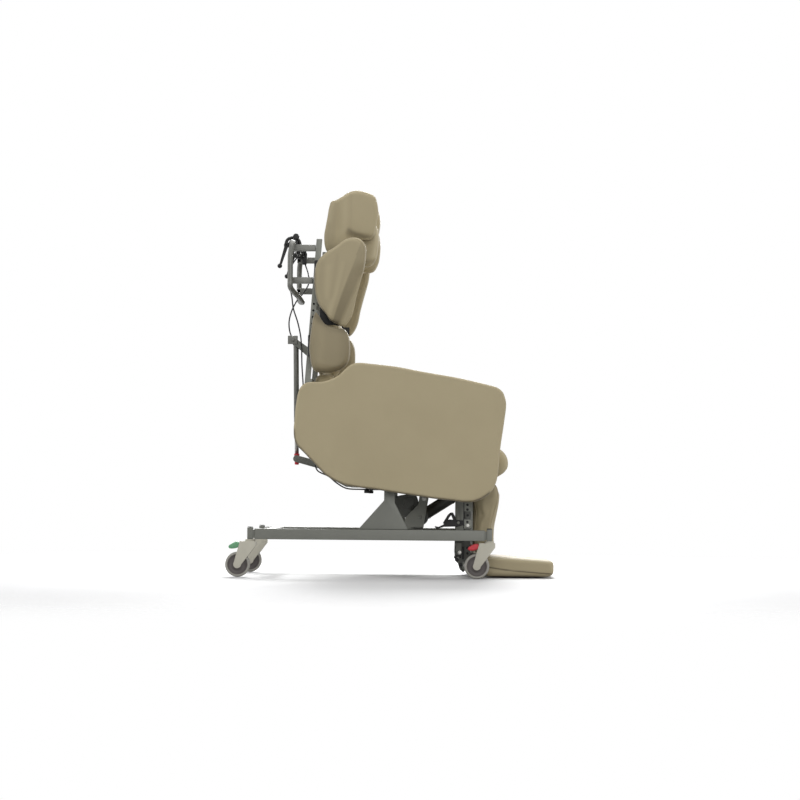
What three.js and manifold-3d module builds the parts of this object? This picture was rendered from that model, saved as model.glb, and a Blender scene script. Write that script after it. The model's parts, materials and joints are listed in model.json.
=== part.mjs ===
import * as THREE from 'three';
import { mergeVertices } from 'three/addons/utils/BufferGeometryUtils.js';
import Module from 'manifold-3d';

// Tilt-in-space care chair: castor base, tilting seat, reclining back with side wings, leg rest.
// Millimetres, +Z up, the chair faces +X and its left side is +Y.
// While it is drawn, x = 0 is the axle of the front castors; the last lines centre the whole chair.

const wasm = await Module();
wasm.setup();

// General clearances and facet counts
const seatGap = 0.3;
const overrun = 1;
const weldDistance = 0.001;
const boltSides = 12;
const roundSides = 16;
const wheelSides = 20;
const tubeSides = 10;
const cableSides = 8;

// Base
const rail = { section: 35, underside: 125, trackHalf: 274 };
const railTop = rail.underside + rail.section;
const wheelbase = 791;
const castor = {
  trail: 41, wheelRadius: 41.5, wheelWidth: 25, tyreDepth: 8, hubRadius: 14, axleRadius: 6, runningGap: 0.3,
  discHeight: 7, discRadius: 16, forkTop: 118, crownDepth: 14, cheek: 5, cheekGap: 2, hubBoss: 13,
  forkRear: 33, forkFront: 19, forkNose: 10,
};
const endPost = { length: 18, height: 38.5, neckLength: 6, neckSection: 28 };
const frontStemX = castor.trail;
const rearStemX = frontStemX - wheelbase;
const crossFrontX = -200;
const crossRearX = -690;
const pedal = { length: 38, depth: 18, width: 30, height: 106 };

// Tilt pivot and towers
const tiltX = -290;
const tiltZ = 318;
const tiltShaftRadius = 10;
const tower = {
  thickness: 12, postHalf: 18, footRear: 103, footFront: 62, shoulderRear: 96, shoulderFront: 88,
};
const towerMid = rail.trackHalf;

// Tilt spring under the seat
const springFoot = { x: -190, z: 200 };
const springHead = { x: -25, z: 305 };
const spring = {
  tubeRadius: 17, tubeLength: 132, lobeRadius: 28, lobeLength: 92, lobeRise: 48, boreLength: 112,
  rodRadius: 7, rodInside: 96, eyeRadius: 12, eyeHalf: 9, eyeBore: 8, pinRadius: 3.5, footPinRadius: 7,
};
const springBracket = { inner: 45, plate: 8, floor: 6, height: 125, footHalf: 21 };

// Seat
const seat = {
  sideInner: 250, sideOuter: 262, bottom: 300, top: 336, cushionHalf: 248,
  crossWide: 28, slatWide: 60, slatThick: 6, lugInner: 12, lugOuter: 18, shaftWall: 6, rearTubeZ: 356,
};
const seatFrontX = 20;
const kneeX = 45;
const kneeZ = 380;
const kneePinRadius = 7;
const reclineX = -490;
const reclineZ = 420;
const reclineShaftRadius = 9;
const strutFoot = { x: -614, z: 396 };
const seatCushion = { rear: -474, front: 103, low: 326, top: 455 };
const legClearRadius = 64;

// Arms
const arm = {
  inner: 291, thickness: 48, rear: -606, front: 91, bottom: 254, top: 708,
  postX: -366, postWide: 20, postInner: 264, postOuter: 280, postTop: 560, socketWall: 4.6, socketTop: 380,
  padPlateHalf: 36, padPlateLow: 430, knobRadius: 9, knobThick: 10, knobStem: 4, knobDrop: 20,
};

// Back
const back = {
  footX: -583, footZ: 455, topZ: 1128, lean: 0.0734, uprightMid: 215, uprightWide: 24, uprightDeep: 18,
  slatThick: 6, slatTall: 60, cushionGap: 0.5, cushionHalf: 200, hipHalf: 224,
  plateThick: 6, plateTall: 105, footDrop: 14, holeRadius: 4, holePitch: 22, holeCount: 6, tubeTall: 36,
};
const backRise = back.topZ - back.footZ;
const slatShares = [0.067, 0.215, 0.416, 0.557, 0.75];
const firstHoleShare = 0.513;
const strutTubeShare = 0.4205;
const guideShare = 0.753;
const strutHead = { x: -630, z: 802 };
const strut = {
  outerRadius: 9, innerRadius: 7.4, boreGap: 0.5, outerBottom: 520, innerTop: 650, capLength: 16,
  eyeRadius: 12, eyeHalf: 10, pinRadius: 3.5, eyeBore: 8.5, headPin: 6,
};
const wing = { thickness: 57, gap: 2.3, knuckleRadius: 8, knuckleGap: 0.6, knuckleTall: 70, leaf: 4 };
const wingMid = back.uprightMid + back.uprightWide / 2 + wing.gap + wing.thickness / 2;

// Head
// Heights and drops are from the uprights' top
const head = {
  barThick: 8, barHalf: 20, barRise: 87, step: 22, stepTall: 16, crossRise: 34,
  crossTall: 28, tongueThick: 6, tongueMid: 140, tongueRise: 22, tongueTall: 55, tongueReach: 130, plateHalf: 60,
  plateRise: 2, plateTall: 100, plateThick: 2, padHalf: 84, padDrop: 30, padTall: 172, padDeep: 66, wingThick: 55,
  shoulderThick: 48, guideTall: 40, guideWall: 6,
};

const barLowShare = 0.6315;
const stepShare = 0.8782;

// Handle
// Its places are from the uprights: outset beside them, behind their foot and below their top
const handle = {
  radius: 9, outset: 55, behind: 44, topDrop: 12, sideDrop: 136, bowDrop: 180, corner: 36, bowAhead: 24,
  overlap: 15, straight: 20, bendDrop: 12, bendAhead: 1, bendIn: 3, cornerAhead: 4, run: 14,
  turnDrop: 14, turnIn: 1, sweepAhead: 6, sweepDrop: 26, sweepRise: 8,
  armTall: 21, upperArmDrop: 28, lowerArmDrop: 1, armHalf: 10, armStep: 3, barAhead: 5,
};
const sweepShare = 0.86;
const pushBar = {
  x: back.footX - handle.behind, half: back.uprightMid + handle.outset, topZ: back.topZ - handle.topDrop,
};
const clamp = {
  gap: 16, width: 22, wall: 6, knobRadius: 9, knobAhead: 13, knobRise: 20, earBehind: 19, earDrop: 5,
};
const lever = { thick: 6, wide: 10, reach: 71, back: 21, ballRadius: 8, pinRadius: 3 };
const cableRadius = 2.4;

// Leg rest
const leg = {
  tube: 26, slideTube: 20, rearTubeX: -56, frontTubeX: -29.5, mid: 175, tubeLow: 150, barLow: 262, barTall: 26,
  kneeInner: 264, kneePlate: 6, kneeRadius: 16, strapWide: 26, collarWall: 2.5, collarTall: 30, collarLow: 165,
  collarHigh: 222, slideTop: 258, slideLow: 50, slideBar: 26, backPlate: 4, backHalf: 185, backLow: 110, backTop: 285,
};
const legPad = { half: 184, low: 84, front: 77 };
const foot = { half: 170, rear: 27, front: 259, low: 6, top: 70, pivotX: 30, pivotZ: 60, pinRadius: 6, pinReach: 12,
  armInner: 172, armThick: 8, armRear: -71, armLow: 18, armTop: 118, eyeRadius: 11 };
const legLever = { x: -61, z: 184, thick: 5.5, pinRadius: 5, reach: 79 };

const frame = { color: 0x67685f, roughness: 0.5, metalness: 0.35 };
const handleSteel = { color: 0x82827f, roughness: 0.45, metalness: 0.4 };
const upholstery = { color: 0x9d9073, roughness: 0.7, metalness: 0 };
const blackPlastic = { color: 0x161616, roughness: 0.5, metalness: 0 };
const darkSteel = { color: 0x2d2d2b, roughness: 0.5, metalness: 0.3 };
const forkPlastic = { color: 0xb2ae9f, roughness: 0.5, metalness: 0 };
const tyreGrey = { color: 0x96938c, roughness: 0.7, metalness: 0 };
const brakeRed = { color: 0xb43c41, roughness: 0.5, metalness: 0 };
const lockGreen = { color: 0x6e8c73, roughness: 0.5, metalness: 0 };

const chair = new THREE.Group();
const sides = [{ word: 'left', sign: 1 }, { word: 'right', sign: -1 }];

/** Closed solid of a geometry, with its equal points merged. */
function solid(geometry) {
  const bare = geometry.clone();
  bare.deleteAttribute('normal');
  bare.deleteAttribute('uv');
  const merged = mergeVertices(bare, weldDistance);
  return new wasm.Manifold(new wasm.Mesh({
    numProp: 3,
    vertProperties: Float32Array.from(merged.attributes.position.array),
    triVerts: Uint32Array.from(merged.index.array),
  }));
}

/** Geometry of a solid. */
function geometryOf(body) {
  const { vertProperties, triVerts } = body.getMesh();
  const geometry = new THREE.BufferGeometry();
  geometry.setAttribute('position', new THREE.BufferAttribute(Float32Array.from(vertProperties), 3));
  geometry.setIndex(new THREE.BufferAttribute(Uint32Array.from(triVerts), 1));
  geometry.computeVertexNormals();
  return geometry;
}

/** Union of several geometries. */
function join(...geometries) {
  return geometryOf(geometries.map(solid).reduce((all, next) => all.add(next)));
}

/** First geometry with the others taken out of it. */
function cut(base, ...tools) {
  return geometryOf(tools.map(solid).reduce((left, tool) => left.subtract(tool), solid(base)));
}

/** Adds a named mesh to the chair. */
function add(name, geometry, finish) {
  const mesh = new THREE.Mesh(geometry, new THREE.MeshStandardMaterial(finish));
  mesh.name = name;
  chair.add(mesh);
  return mesh;
}

/** Box between two values on each axis; the y values may come in either order. */
function block(xLow, xHigh, yOne, yTwo, zLow, zHigh) {
  const box = new THREE.BoxGeometry(xHigh - xLow, Math.abs(yTwo - yOne), zHigh - zLow);
  return box.translate((xLow + xHigh) / 2, (yOne + yTwo) / 2, (zLow + zHigh) / 2);
}

/** Plate with an outline of [x, z] points, between two y values in either order. */
function sidePlate(points, yOne, yTwo) {
  const shape = new THREE.Shape(points.map(([x, z]) => new THREE.Vector2(x, z)));
  const plate = new THREE.ExtrudeGeometry(shape, { depth: Math.abs(yTwo - yOne), bevelEnabled: false });
  return plate.rotateX(Math.PI / 2).translate(0, Math.max(yOne, yTwo), 0);
}

/** Round bar across the chair at (x, z), between two y values in either order. */
function crossPin(x, z, radius, yOne, yTwo, count = roundSides) {
  const pin = new THREE.CylinderGeometry(radius, radius, Math.abs(yTwo - yOne), count);
  return pin.translate(x, (yOne + yTwo) / 2, z);
}

/** Round bar from one point to another. */
function rod(from, to, radius, count = roundSides) {
  const start = new THREE.Vector3(...from);
  const end = new THREE.Vector3(...to);
  const turn = new THREE.Quaternion();
  turn.setFromUnitVectors(new THREE.Vector3(0, 1, 0), end.clone().sub(start).normalize());
  const bar = new THREE.CylinderGeometry(radius, radius, start.distanceTo(end), count);
  return bar.applyQuaternion(turn).translate(...start.add(end).divideScalar(2).toArray());
}

/** Round tube along a smooth curve through points. */
function bentTube(points, radius, steps, count) {
  const path = new THREE.CatmullRomCurve3(points.map((point) => new THREE.Vector3(...point)), false, 'centripetal');
  const section = new THREE.Shape();
  section.absarc(0, 0, radius, 0, 2 * Math.PI);
  return new THREE.ExtrudeGeometry(section, { extrudePath: path, steps, curveSegments: count / 2 });
}

/** Centre line of the uprights at a height. */
function uprightX(z) {
  return back.footX + back.lean * (z - back.footZ);
}

/** Height of a share of the uprights. */
function heightAt(share) {
  return back.footZ + share * backRise;
}

/** Block that leans with the back: its x values are offsets from the uprights' centre line. */
function leaning(offsetLow, offsetHigh, yOne, yTwo, zLow, zHigh) {
  const box = block(offsetLow, offsetHigh, yOne, yTwo, zLow, zHigh);
  const place = box.attributes.position;
  for (let i = 0; i < place.count; i += 1) place.setX(i, place.getX(i) + uprightX(place.getZ(i)));
  return box;
}

/** Smooth closed outline through shares of a box, as anticlockwise [x, z] points. */
function outlineOf(shares, box, count) {
  const points = shares.map(([u, v]) => new THREE.Vector3(
    box.rear + u * (box.front - box.rear), box.low + v * (box.top - box.low), 0));
  const curve = new THREE.CatmullRomCurve3(points, true, 'centripetal');
  const ring = curve.getSpacedPoints(count).slice(0, count).map((point) => [
    THREE.MathUtils.clamp(point.x, box.rear, box.front), THREE.MathUtils.clamp(point.y, box.low, box.top)]);
  const area = THREE.ShapeUtils.area(ring.map(([x, z]) => new THREE.Vector2(x, z)));
  return area > 0 ? ring : ring.reverse();
}

/**
 * Upholstered form: a side outline carried across the chair. A station is [share of the half
 * thickness, share of the outline's size]; the faces crown between the last stations.
 */
function paddedForm(ring, mid, half, stations, crown) {
  const hub = ring.reduce(([x, z], point) => [x + point[0] / ring.length, z + point[1] / ring.length], [0, 0]);
  const points = [hub[0], mid - half - crown, hub[1]];
  for (const [across, size] of stations) {
    for (const [x, z] of ring) {
      points.push(hub[0] + size * (x - hub[0]), mid + across * half, hub[1] + size * (z - hub[1]));
    }
  }
  points.push(hub[0], mid + half + crown, hub[1]);
  const faces = [];
  const at = (station, i) => 1 + station * ring.length + (i % ring.length);
  const lastPoint = 1 + stations.length * ring.length;
  for (let i = 0; i < ring.length; i += 1) {
    faces.push(0, at(0, i), at(0, i + 1));
    faces.push(lastPoint, at(stations.length - 1, i + 1), at(stations.length - 1, i));
    for (let k = 0; k + 1 < stations.length; k += 1) {
      faces.push(at(k, i), at(k + 1, i), at(k, i + 1));
      faces.push(at(k, i + 1), at(k + 1, i), at(k + 1, i + 1));
    }
  }
  const geometry = new THREE.BufferGeometry();
  geometry.setAttribute('position', new THREE.BufferAttribute(Float32Array.from(points), 3));
  geometry.setIndex(faces);
  geometry.computeVertexNormals();
  return geometry;
}

/** Stations of a pillow edge: full size at the middle, drawn in towards both faces. */
const wingStationShares = [[-1, 0.58], [-0.9, 0.8], [-0.55, 0.95], [0, 1], [0.55, 0.95], [0.9, 0.8], [1, 0.58]];
const panelStationShares = [[-1, 0.93], [-0.72, 0.985], [0, 1], [0.72, 0.985], [1, 0.93]];
const cushionStationShares = [
  [-1, 0.8], [-0.97, 0.92], [-0.86, 0.98], [-0.4, 1], [0.4, 1], [0.86, 0.98], [0.97, 0.92], [1, 0.8]];

/** Rounded upright section of a back cushion that leans with the uprights, as [x, z] points. */
const sectionShares = [
  [0.0, 0.07], [0.1, 0.0], [0.5, 0.0], [0.82, 0.02], [0.96, 0.16], [1.0, 0.5], [0.96, 0.84], [0.82, 0.98],
  [0.5, 1.0], [0.1, 1.0], [0.0, 0.93], [0.0, 0.5]];

function backCushion(offset, deep, low, top, half) {
  const ring = outlineOf(sectionShares, { rear: 0, front: deep, low, top }, 20);
  const leaned = ring.map(([x, z]) => [x + offset + uprightX(z), z]);
  return paddedForm(leaned, 0, half, cushionStationShares, 0);
}

// Castor base

function addBase() {
  const halfSection = rail.section / 2;
  const postHalf = endPost.length / 2;
  const railFront = frontStemX - postHalf - endPost.neckLength;
  const railRear = rearStemX + postHalf + endPost.neckLength;
  const neckLow = rail.underside + (rail.section - endPost.neckSection) / 2;
  for (const { word, sign } of sides) {
    const mid = sign * rail.trackHalf;
    const posts = [frontStemX, rearStemX].map((x) => block(x - postHalf, x + postHalf,
      mid - halfSection, mid + halfSection, rail.underside, rail.underside + endPost.height));
    const neck = block(rearStemX, frontStemX, mid - endPost.neckSection / 2, mid + endPost.neckSection / 2,
      neckLow, neckLow + endPost.neckSection);
    const tube = block(railRear, railFront, mid - halfSection, mid + halfSection, rail.underside, railTop);
    add(`base_rail_${word}`, join(tube, neck, ...posts), frame);
  }
  const crossHalf = rail.trackHalf - halfSection - seatGap;
  const crossTubes = { base_cross_front: crossFrontX, base_cross_rear: crossRearX };
  for (const [name, x] of Object.entries(crossTubes)) {
    add(name, block(x - halfSection, x + halfSection, -crossHalf, crossHalf, rail.underside, railTop), frame);
  }
}

function addTowers() {
  const foot = railTop + seatGap;
  const top = tiltZ;
  const outline = [
    [tiltX - tower.footRear, foot], [tiltX + tower.footFront, foot],
    [tiltX + tower.postHalf, foot + tower.shoulderFront], [tiltX + tower.postHalf, top],
    [tiltX - tower.postHalf, top], [tiltX - tower.postHalf, foot + tower.shoulderRear]];
  for (const { word, sign } of sides) {
    const inner = sign * (towerMid - tower.thickness / 2);
    const outer = sign * (towerMid + tower.thickness / 2);
    const plate = join(sidePlate(outline, inner, outer), crossPin(tiltX, top, tower.postHalf, inner, outer));
    const hole = crossPin(tiltX, tiltZ, tiltShaftRadius + seatGap, inner - overrun * sign, outer + overrun * sign);
    add(`tower_${word}`, cut(plate, hole), frame);
  }
  const shaftHalf = towerMid + tower.thickness / 2 + tiltShaftRadius / 2;
  add('tilt_shaft', crossPin(tiltX, tiltZ, tiltShaftRadius, -shaftHalf, shaftHalf), handleSteel);
}

const bracketOutlineShares = [
  [-0.5, 0], [0.5, 0], [0.9, 0.2], [1.3, 0.44], [1.4, 1], [-0.1, 1], [-0.25, 0.7], [-0.85, 0.29]];

function addTiltSpring() {
  const floorZ = railTop + seatGap;
  const outline = bracketOutlineShares.map(([u, v]) => [
    crossFrontX + u * 2 * springBracket.footHalf - springBracket.footHalf / 4, floorZ + v * springBracket.height]);
  const outer = springBracket.inner + springBracket.plate;
  const plates = sides.map(({ sign }) => sidePlate(outline, sign * springBracket.inner, sign * outer));
  const floor = block(crossFrontX - springBracket.footHalf, crossFrontX + springBracket.footHalf, -outer, outer,
    floorZ, floorZ + springBracket.floor);
  const pin = crossPin(springFoot.x, springFoot.z, spring.footPinRadius, -outer, outer, boltSides);
  add('tilt_spring_bracket', join(...plates, floor, pin), frame);

  const run = new THREE.Vector2(springHead.x - springFoot.x, springHead.z - springFoot.z);
  const reach = run.length();
  const along = run.clone().normalize();
  const spot = (distance) => [springFoot.x + along.x * distance, 0, springFoot.z + along.y * distance];
  const lobeAngle = THREE.MathUtils.degToRad(180 - spring.lobeRise);
  const lobeEnd = [springFoot.x + spring.lobeLength * Math.cos(lobeAngle), 0,
    springFoot.z + spring.lobeLength * Math.sin(lobeAngle)];
  const knuckle = crossPin(springFoot.x, springFoot.z, spring.lobeRadius, -spring.lobeRadius, spring.lobeRadius);
  const body = join(knuckle, rod(spot(0), spot(spring.tubeLength), spring.tubeRadius),
    rod([springFoot.x, 0, springFoot.z], lobeEnd, spring.lobeRadius));
  const bore = rod(spot(spring.tubeLength - spring.boreLength), spot(spring.tubeLength + overrun),
    spring.rodRadius + seatGap, boltSides);
  const pinHole = crossPin(springFoot.x, springFoot.z, spring.footPinRadius + seatGap, -outer, outer, boltSides);
  add('tilt_spring_tube', cut(body, bore, pinHole), darkSteel);

  const stem = rod(spot(spring.tubeLength - spring.rodInside), spot(reach - spring.eyeRadius / 2), spring.rodRadius,
    boltSides);
  const eye = crossPin(springHead.x, springHead.z, spring.eyeRadius, -spring.eyeHalf, spring.eyeHalf);
  const eyeHole = crossPin(springHead.x, springHead.z, spring.eyeBore, -spring.eyeHalf - overrun,
    spring.eyeHalf + overrun);
  add('tilt_spring_rod', cut(join(stem, eye), eyeHole), handleSteel);
}

// Castors

const wheelProfileShares = [
  [0, -0.88], [0.22, -1], [0.62, -0.72], [0.76, -1], [0.92, -1], [1, -0.7], [1, 0.7], [0.92, 1], [0.76, 1],
  [0.62, 0.72], [0.22, 1], [0, 0.88]];
const pedalOutlineShares = [
  [0, 0.35], [0.1, 0.15], [0.4, 0], [0.8, 0.1], [1, 0.35], [1, 0.65], [0.8, 0.9], [0.5, 1], [0.2, 0.75]];
const pedalStationShares = [[-1, 0.7], [-0.7, 1], [0.7, 1], [1, 0.7]];

function addCastor(place, stemX, sign, pedalFinish) {
  const mid = sign * rail.trackHalf;
  const axleX = stemX - castor.trail;
  const axleZ = castor.wheelRadius;
  const cheekInner = castor.wheelWidth / 2 + castor.cheekGap;
  const cheekOuter = cheekInner + castor.cheek;
  const rear = stemX - castor.forkRear;
  const front = stemX + castor.forkFront;
  const crownLow = castor.forkTop - castor.crownDepth;
  const outline = [
    [rear, castor.forkTop], [axleX - castor.hubBoss, axleZ], [axleX + castor.hubBoss, axleZ - overrun],
    [front, crownLow], [front, castor.forkTop]];
  const cheeks = [1, -1].flatMap((face) => [
    sidePlate(outline, mid + face * cheekInner, mid + face * cheekOuter),
    crossPin(axleX, axleZ, castor.hubBoss, mid + face * cheekInner, mid + face * cheekOuter)]);
  const crown = block(rear, front, mid - cheekOuter, mid + cheekOuter, crownLow, castor.forkTop);
  const disc = new THREE.CylinderGeometry(castor.discRadius, castor.discRadius, castor.discHeight, roundSides);
  disc.rotateX(Math.PI / 2).translate(stemX, mid, castor.forkTop + castor.discHeight / 2 - seatGap);
  const axle = crossPin(axleX, axleZ, castor.axleRadius, mid - cheekOuter, mid + cheekOuter, boltSides);
  add(`castor_fork_${place}`, join(crown, disc, axle, ...cheeks), forkPlastic);

  const bore = castor.axleRadius + castor.runningGap;
  const profile = wheelProfileShares.map(([out, across]) => new THREE.Vector2(
    bore + out * (castor.wheelRadius - bore), across * castor.wheelWidth / 2));
  const wheel = new THREE.LatheGeometry([...profile, profile[0]], wheelSides);
  wheel.translate(axleX, mid, axleZ);
  add(`castor_wheel_${place}`, geometryOf(solid(wheel)), tyreGrey);

  const pedalBox = {
    rear: rear - pedal.length, front: rear - seatGap,
    low: pedal.height - pedal.depth / 2, top: pedal.height + pedal.depth / 2 };
  const ring = outlineOf(pedalOutlineShares, pedalBox, 12);
  add(`castor_pedal_${place}`, paddedForm(ring, mid, pedal.width / 2, pedalStationShares, 0), pedalFinish);
}

// Seat

function addSeatFrame() {
  const { bottom, top, sideInner, sideOuter } = seat;
  const shaftWall = reclineShaftRadius + seat.shaftWall;
  const rearTube = reclineX - seat.crossWide + overrun;
  const outline = [
    [seatFrontX, bottom], [kneeX + leg.kneeRadius, kneeZ - overrun], [kneeX - leg.kneeRadius, kneeZ],
    [seatFrontX - seat.crossWide, top], [reclineX + 2 * seat.crossWide, top],
    [reclineX + shaftWall + overrun, reclineZ], [reclineX + shaftWall, reclineZ + shaftWall],
    [reclineX - shaftWall, reclineZ + shaftWall], [rearTube - overrun, seat.rearTubeZ + seat.crossWide],
    [rearTube - overrun, seat.rearTubeZ], [reclineX + seat.crossWide, bottom + seat.crossWide / 2],
    [reclineX + 2 * seat.crossWide, bottom]];
  const holesAt = (yOne, yTwo) => [
    crossPin(tiltX, tiltZ, tiltShaftRadius + seatGap, yOne, yTwo),
    crossPin(reclineX, reclineZ, reclineShaftRadius + seatGap, yOne, yTwo)];
  const parts = [];
  for (const { sign } of sides) {
    const inner = sign * sideInner;
    const outer = sign * sideOuter;
    const plate = join(sidePlate(outline, inner, outer), crossPin(kneeX, kneeZ, leg.kneeRadius, inner, outer));
    parts.push(cut(plate, ...holesAt(inner - sign * overrun, outer + sign * overrun)));
    parts.push(crossPin(kneeX, kneeZ, kneePinRadius, outer - sign * overrun,
      sign * (leg.kneeInner + leg.kneePlate + overrun), boltSides));
    const wall = arm.socketWall;
    const postHalf = arm.postWide / 2;
    const socket = block(arm.postX - postHalf - wall, arm.postX + postHalf + wall, outer - sign * overrun,
      sign * (arm.postOuter + wall), bottom, arm.socketTop);
    const bore = block(arm.postX - postHalf - seatGap, arm.postX + postHalf + seatGap,
      sign * (arm.postInner - seatGap), sign * (arm.postOuter + seatGap), bottom - overrun, arm.socketTop + overrun);
    parts.push(cut(socket, bore));
  }
  const span = sideInner + overrun;
  const crossXs = [seatFrontX - seat.crossWide, crossFrontX - seat.crossWide / 2, reclineX + 2 * seat.crossWide];
  for (const x of crossXs) parts.push(block(x, x + seat.crossWide, -span, span, bottom + overrun, top - overrun));
  parts.push(block(rearTube, rearTube + seat.crossWide, -span, span, seat.rearTubeZ, seat.rearTubeZ
    + seat.crossWide));
  for (const x of [-0.35, -1.05]) {
    const slatX = seatFrontX + x * (seatFrontX - tiltX);
    parts.push(block(slatX - seat.slatWide / 2, slatX + seat.slatWide / 2, -span, span, top - seat.slatThick, top));
  }
  for (const { sign } of sides) {
    const inner = sign * seat.lugInner;
    const outer = sign * seat.lugOuter;
    parts.push(crossPin(springHead.x, springHead.z, spring.eyeRadius, inner, outer));
    parts.push(sidePlate([
      [springHead.x, springHead.z - spring.eyeRadius], [seatFrontX - overrun, bottom],
      [seatFrontX - overrun, top - overrun], [springHead.x, springHead.z + spring.eyeRadius]], inner, outer));
    parts.push(crossPin(strutFoot.x, strutFoot.z, strut.eyeRadius, inner, outer));
    parts.push(sidePlate([
      [strutFoot.x, strutFoot.z - strut.eyeRadius], [rearTube + overrun, seat.rearTubeZ + overrun],
      [rearTube + overrun, seat.rearTubeZ + seat.crossWide - overrun],
      [strutFoot.x, strutFoot.z + strut.eyeRadius]], inner, outer));
  }
  parts.push(crossPin(springHead.x, springHead.z, spring.pinRadius, -seat.lugOuter, seat.lugOuter, boltSides));
  parts.push(crossPin(strutFoot.x, strutFoot.z, strut.pinRadius, -seat.lugOuter, seat.lugOuter, boltSides));
  add('seat_frame', join(...parts), frame);
  const shaftHalf = sideOuter + reclineShaftRadius / 3;
  add('recline_shaft', crossPin(reclineX, reclineZ, reclineShaftRadius, -shaftHalf, shaftHalf), handleSteel);
}

const seatOutlineShares = [
  [0.0, 0.2], [0.015, 0.1], [0.06, 0.08], [0.25, 0.08], [0.45, 0.08], [0.65, 0.08], [0.78, 0.08], [0.862, 0.08],
  [0.898, 0.05], [0.93, 0.0], [0.972, 0.08], [0.993, 0.22], [1.0, 0.42], [0.993, 0.64], [0.965, 0.87],
  [0.92, 0.985], [0.8, 0.985], [0.68, 0.95], [0.6, 0.945], [0.5, 0.945], [0.4, 0.945], [0.32, 0.95], [0.2, 0.965],
  [0.05, 1.0], [0.01, 0.93], [0.0, 0.6]];

function addSeatCushion() {
  const ring = outlineOf(seatOutlineShares, seatCushion, 38);
  add('seat_cushion', paddedForm(ring, 0, seat.cushionHalf, cushionStationShares, 0), upholstery);
}

// Arms

const armOutlineShares = [
  [0.053, 0.85], [0.027, 0.811], [0.01, 0.7], [0.004, 0.59], [0, 0.511], [0.004, 0.445], [0.016, 0.401],
  [0.056, 0.337], [0.092, 0.28], [0.148, 0.192], [0.191, 0.15], [0.241, 0.117], [0.298, 0.101], [0.386, 0.086],
  [0.479, 0.064], [0.574, 0.044], [0.66, 0.024], [0.746, 0.011], [0.803, 0], [0.848, 0.002], [0.89, 0.026],
  [0.925, 0.064], [0.947, 0.115], [0.961, 0.181], [0.974, 0.392], [0.991, 0.579], [1, 0.711], [0.994, 0.758],
  [0.984, 0.795], [0.958, 0.828], [0.908, 0.85], [0.763, 0.899], [0.618, 0.936], [0.482, 0.974], [0.366, 0.993],
  [0.308, 1], [0.273, 0.991], [0.244, 0.958], [0.208, 0.907], [0.165, 0.874], [0.128, 0.859], [0.089, 0.859]];

function addArm({ word, sign }) {
  const half = arm.thickness / 2;
  const box = { rear: arm.rear, front: arm.front, low: arm.bottom, top: arm.top };
  const ring = outlineOf(armOutlineShares, box, 50);
  add(`arm_panel_${word}`, paddedForm(ring, sign * (arm.inner + half), half, panelStationShares, 0), upholstery);
  const postHalf = arm.postWide / 2;
  const post = block(arm.postX - postHalf, arm.postX + postHalf, sign * arm.postInner, sign * arm.postOuter,
    seat.bottom, arm.postTop);
  const plate = block(arm.postX - arm.padPlateHalf, arm.postX + arm.padPlateHalf, sign * (arm.postOuter - overrun),
    sign * (arm.inner - seatGap), arm.padPlateLow, arm.postTop);
  add(`arm_post_${word}`, join(post, plate), frame);
  const mid = sign * (seat.sideInner + seat.sideOuter) / 2;
  const knobLow = seat.bottom - arm.knobDrop;
  const upright = (radius, low, high) => rod([arm.postX, mid, low], [arm.postX, mid, high], radius, boltSides);
  add(`arm_knob_${word}`, join(upright(arm.knobRadius, knobLow, knobLow + arm.knobThick),
    upright(arm.knobStem, knobLow + arm.knobThick - overrun, seat.bottom - seatGap)), blackPlastic);
}

// Back

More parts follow.
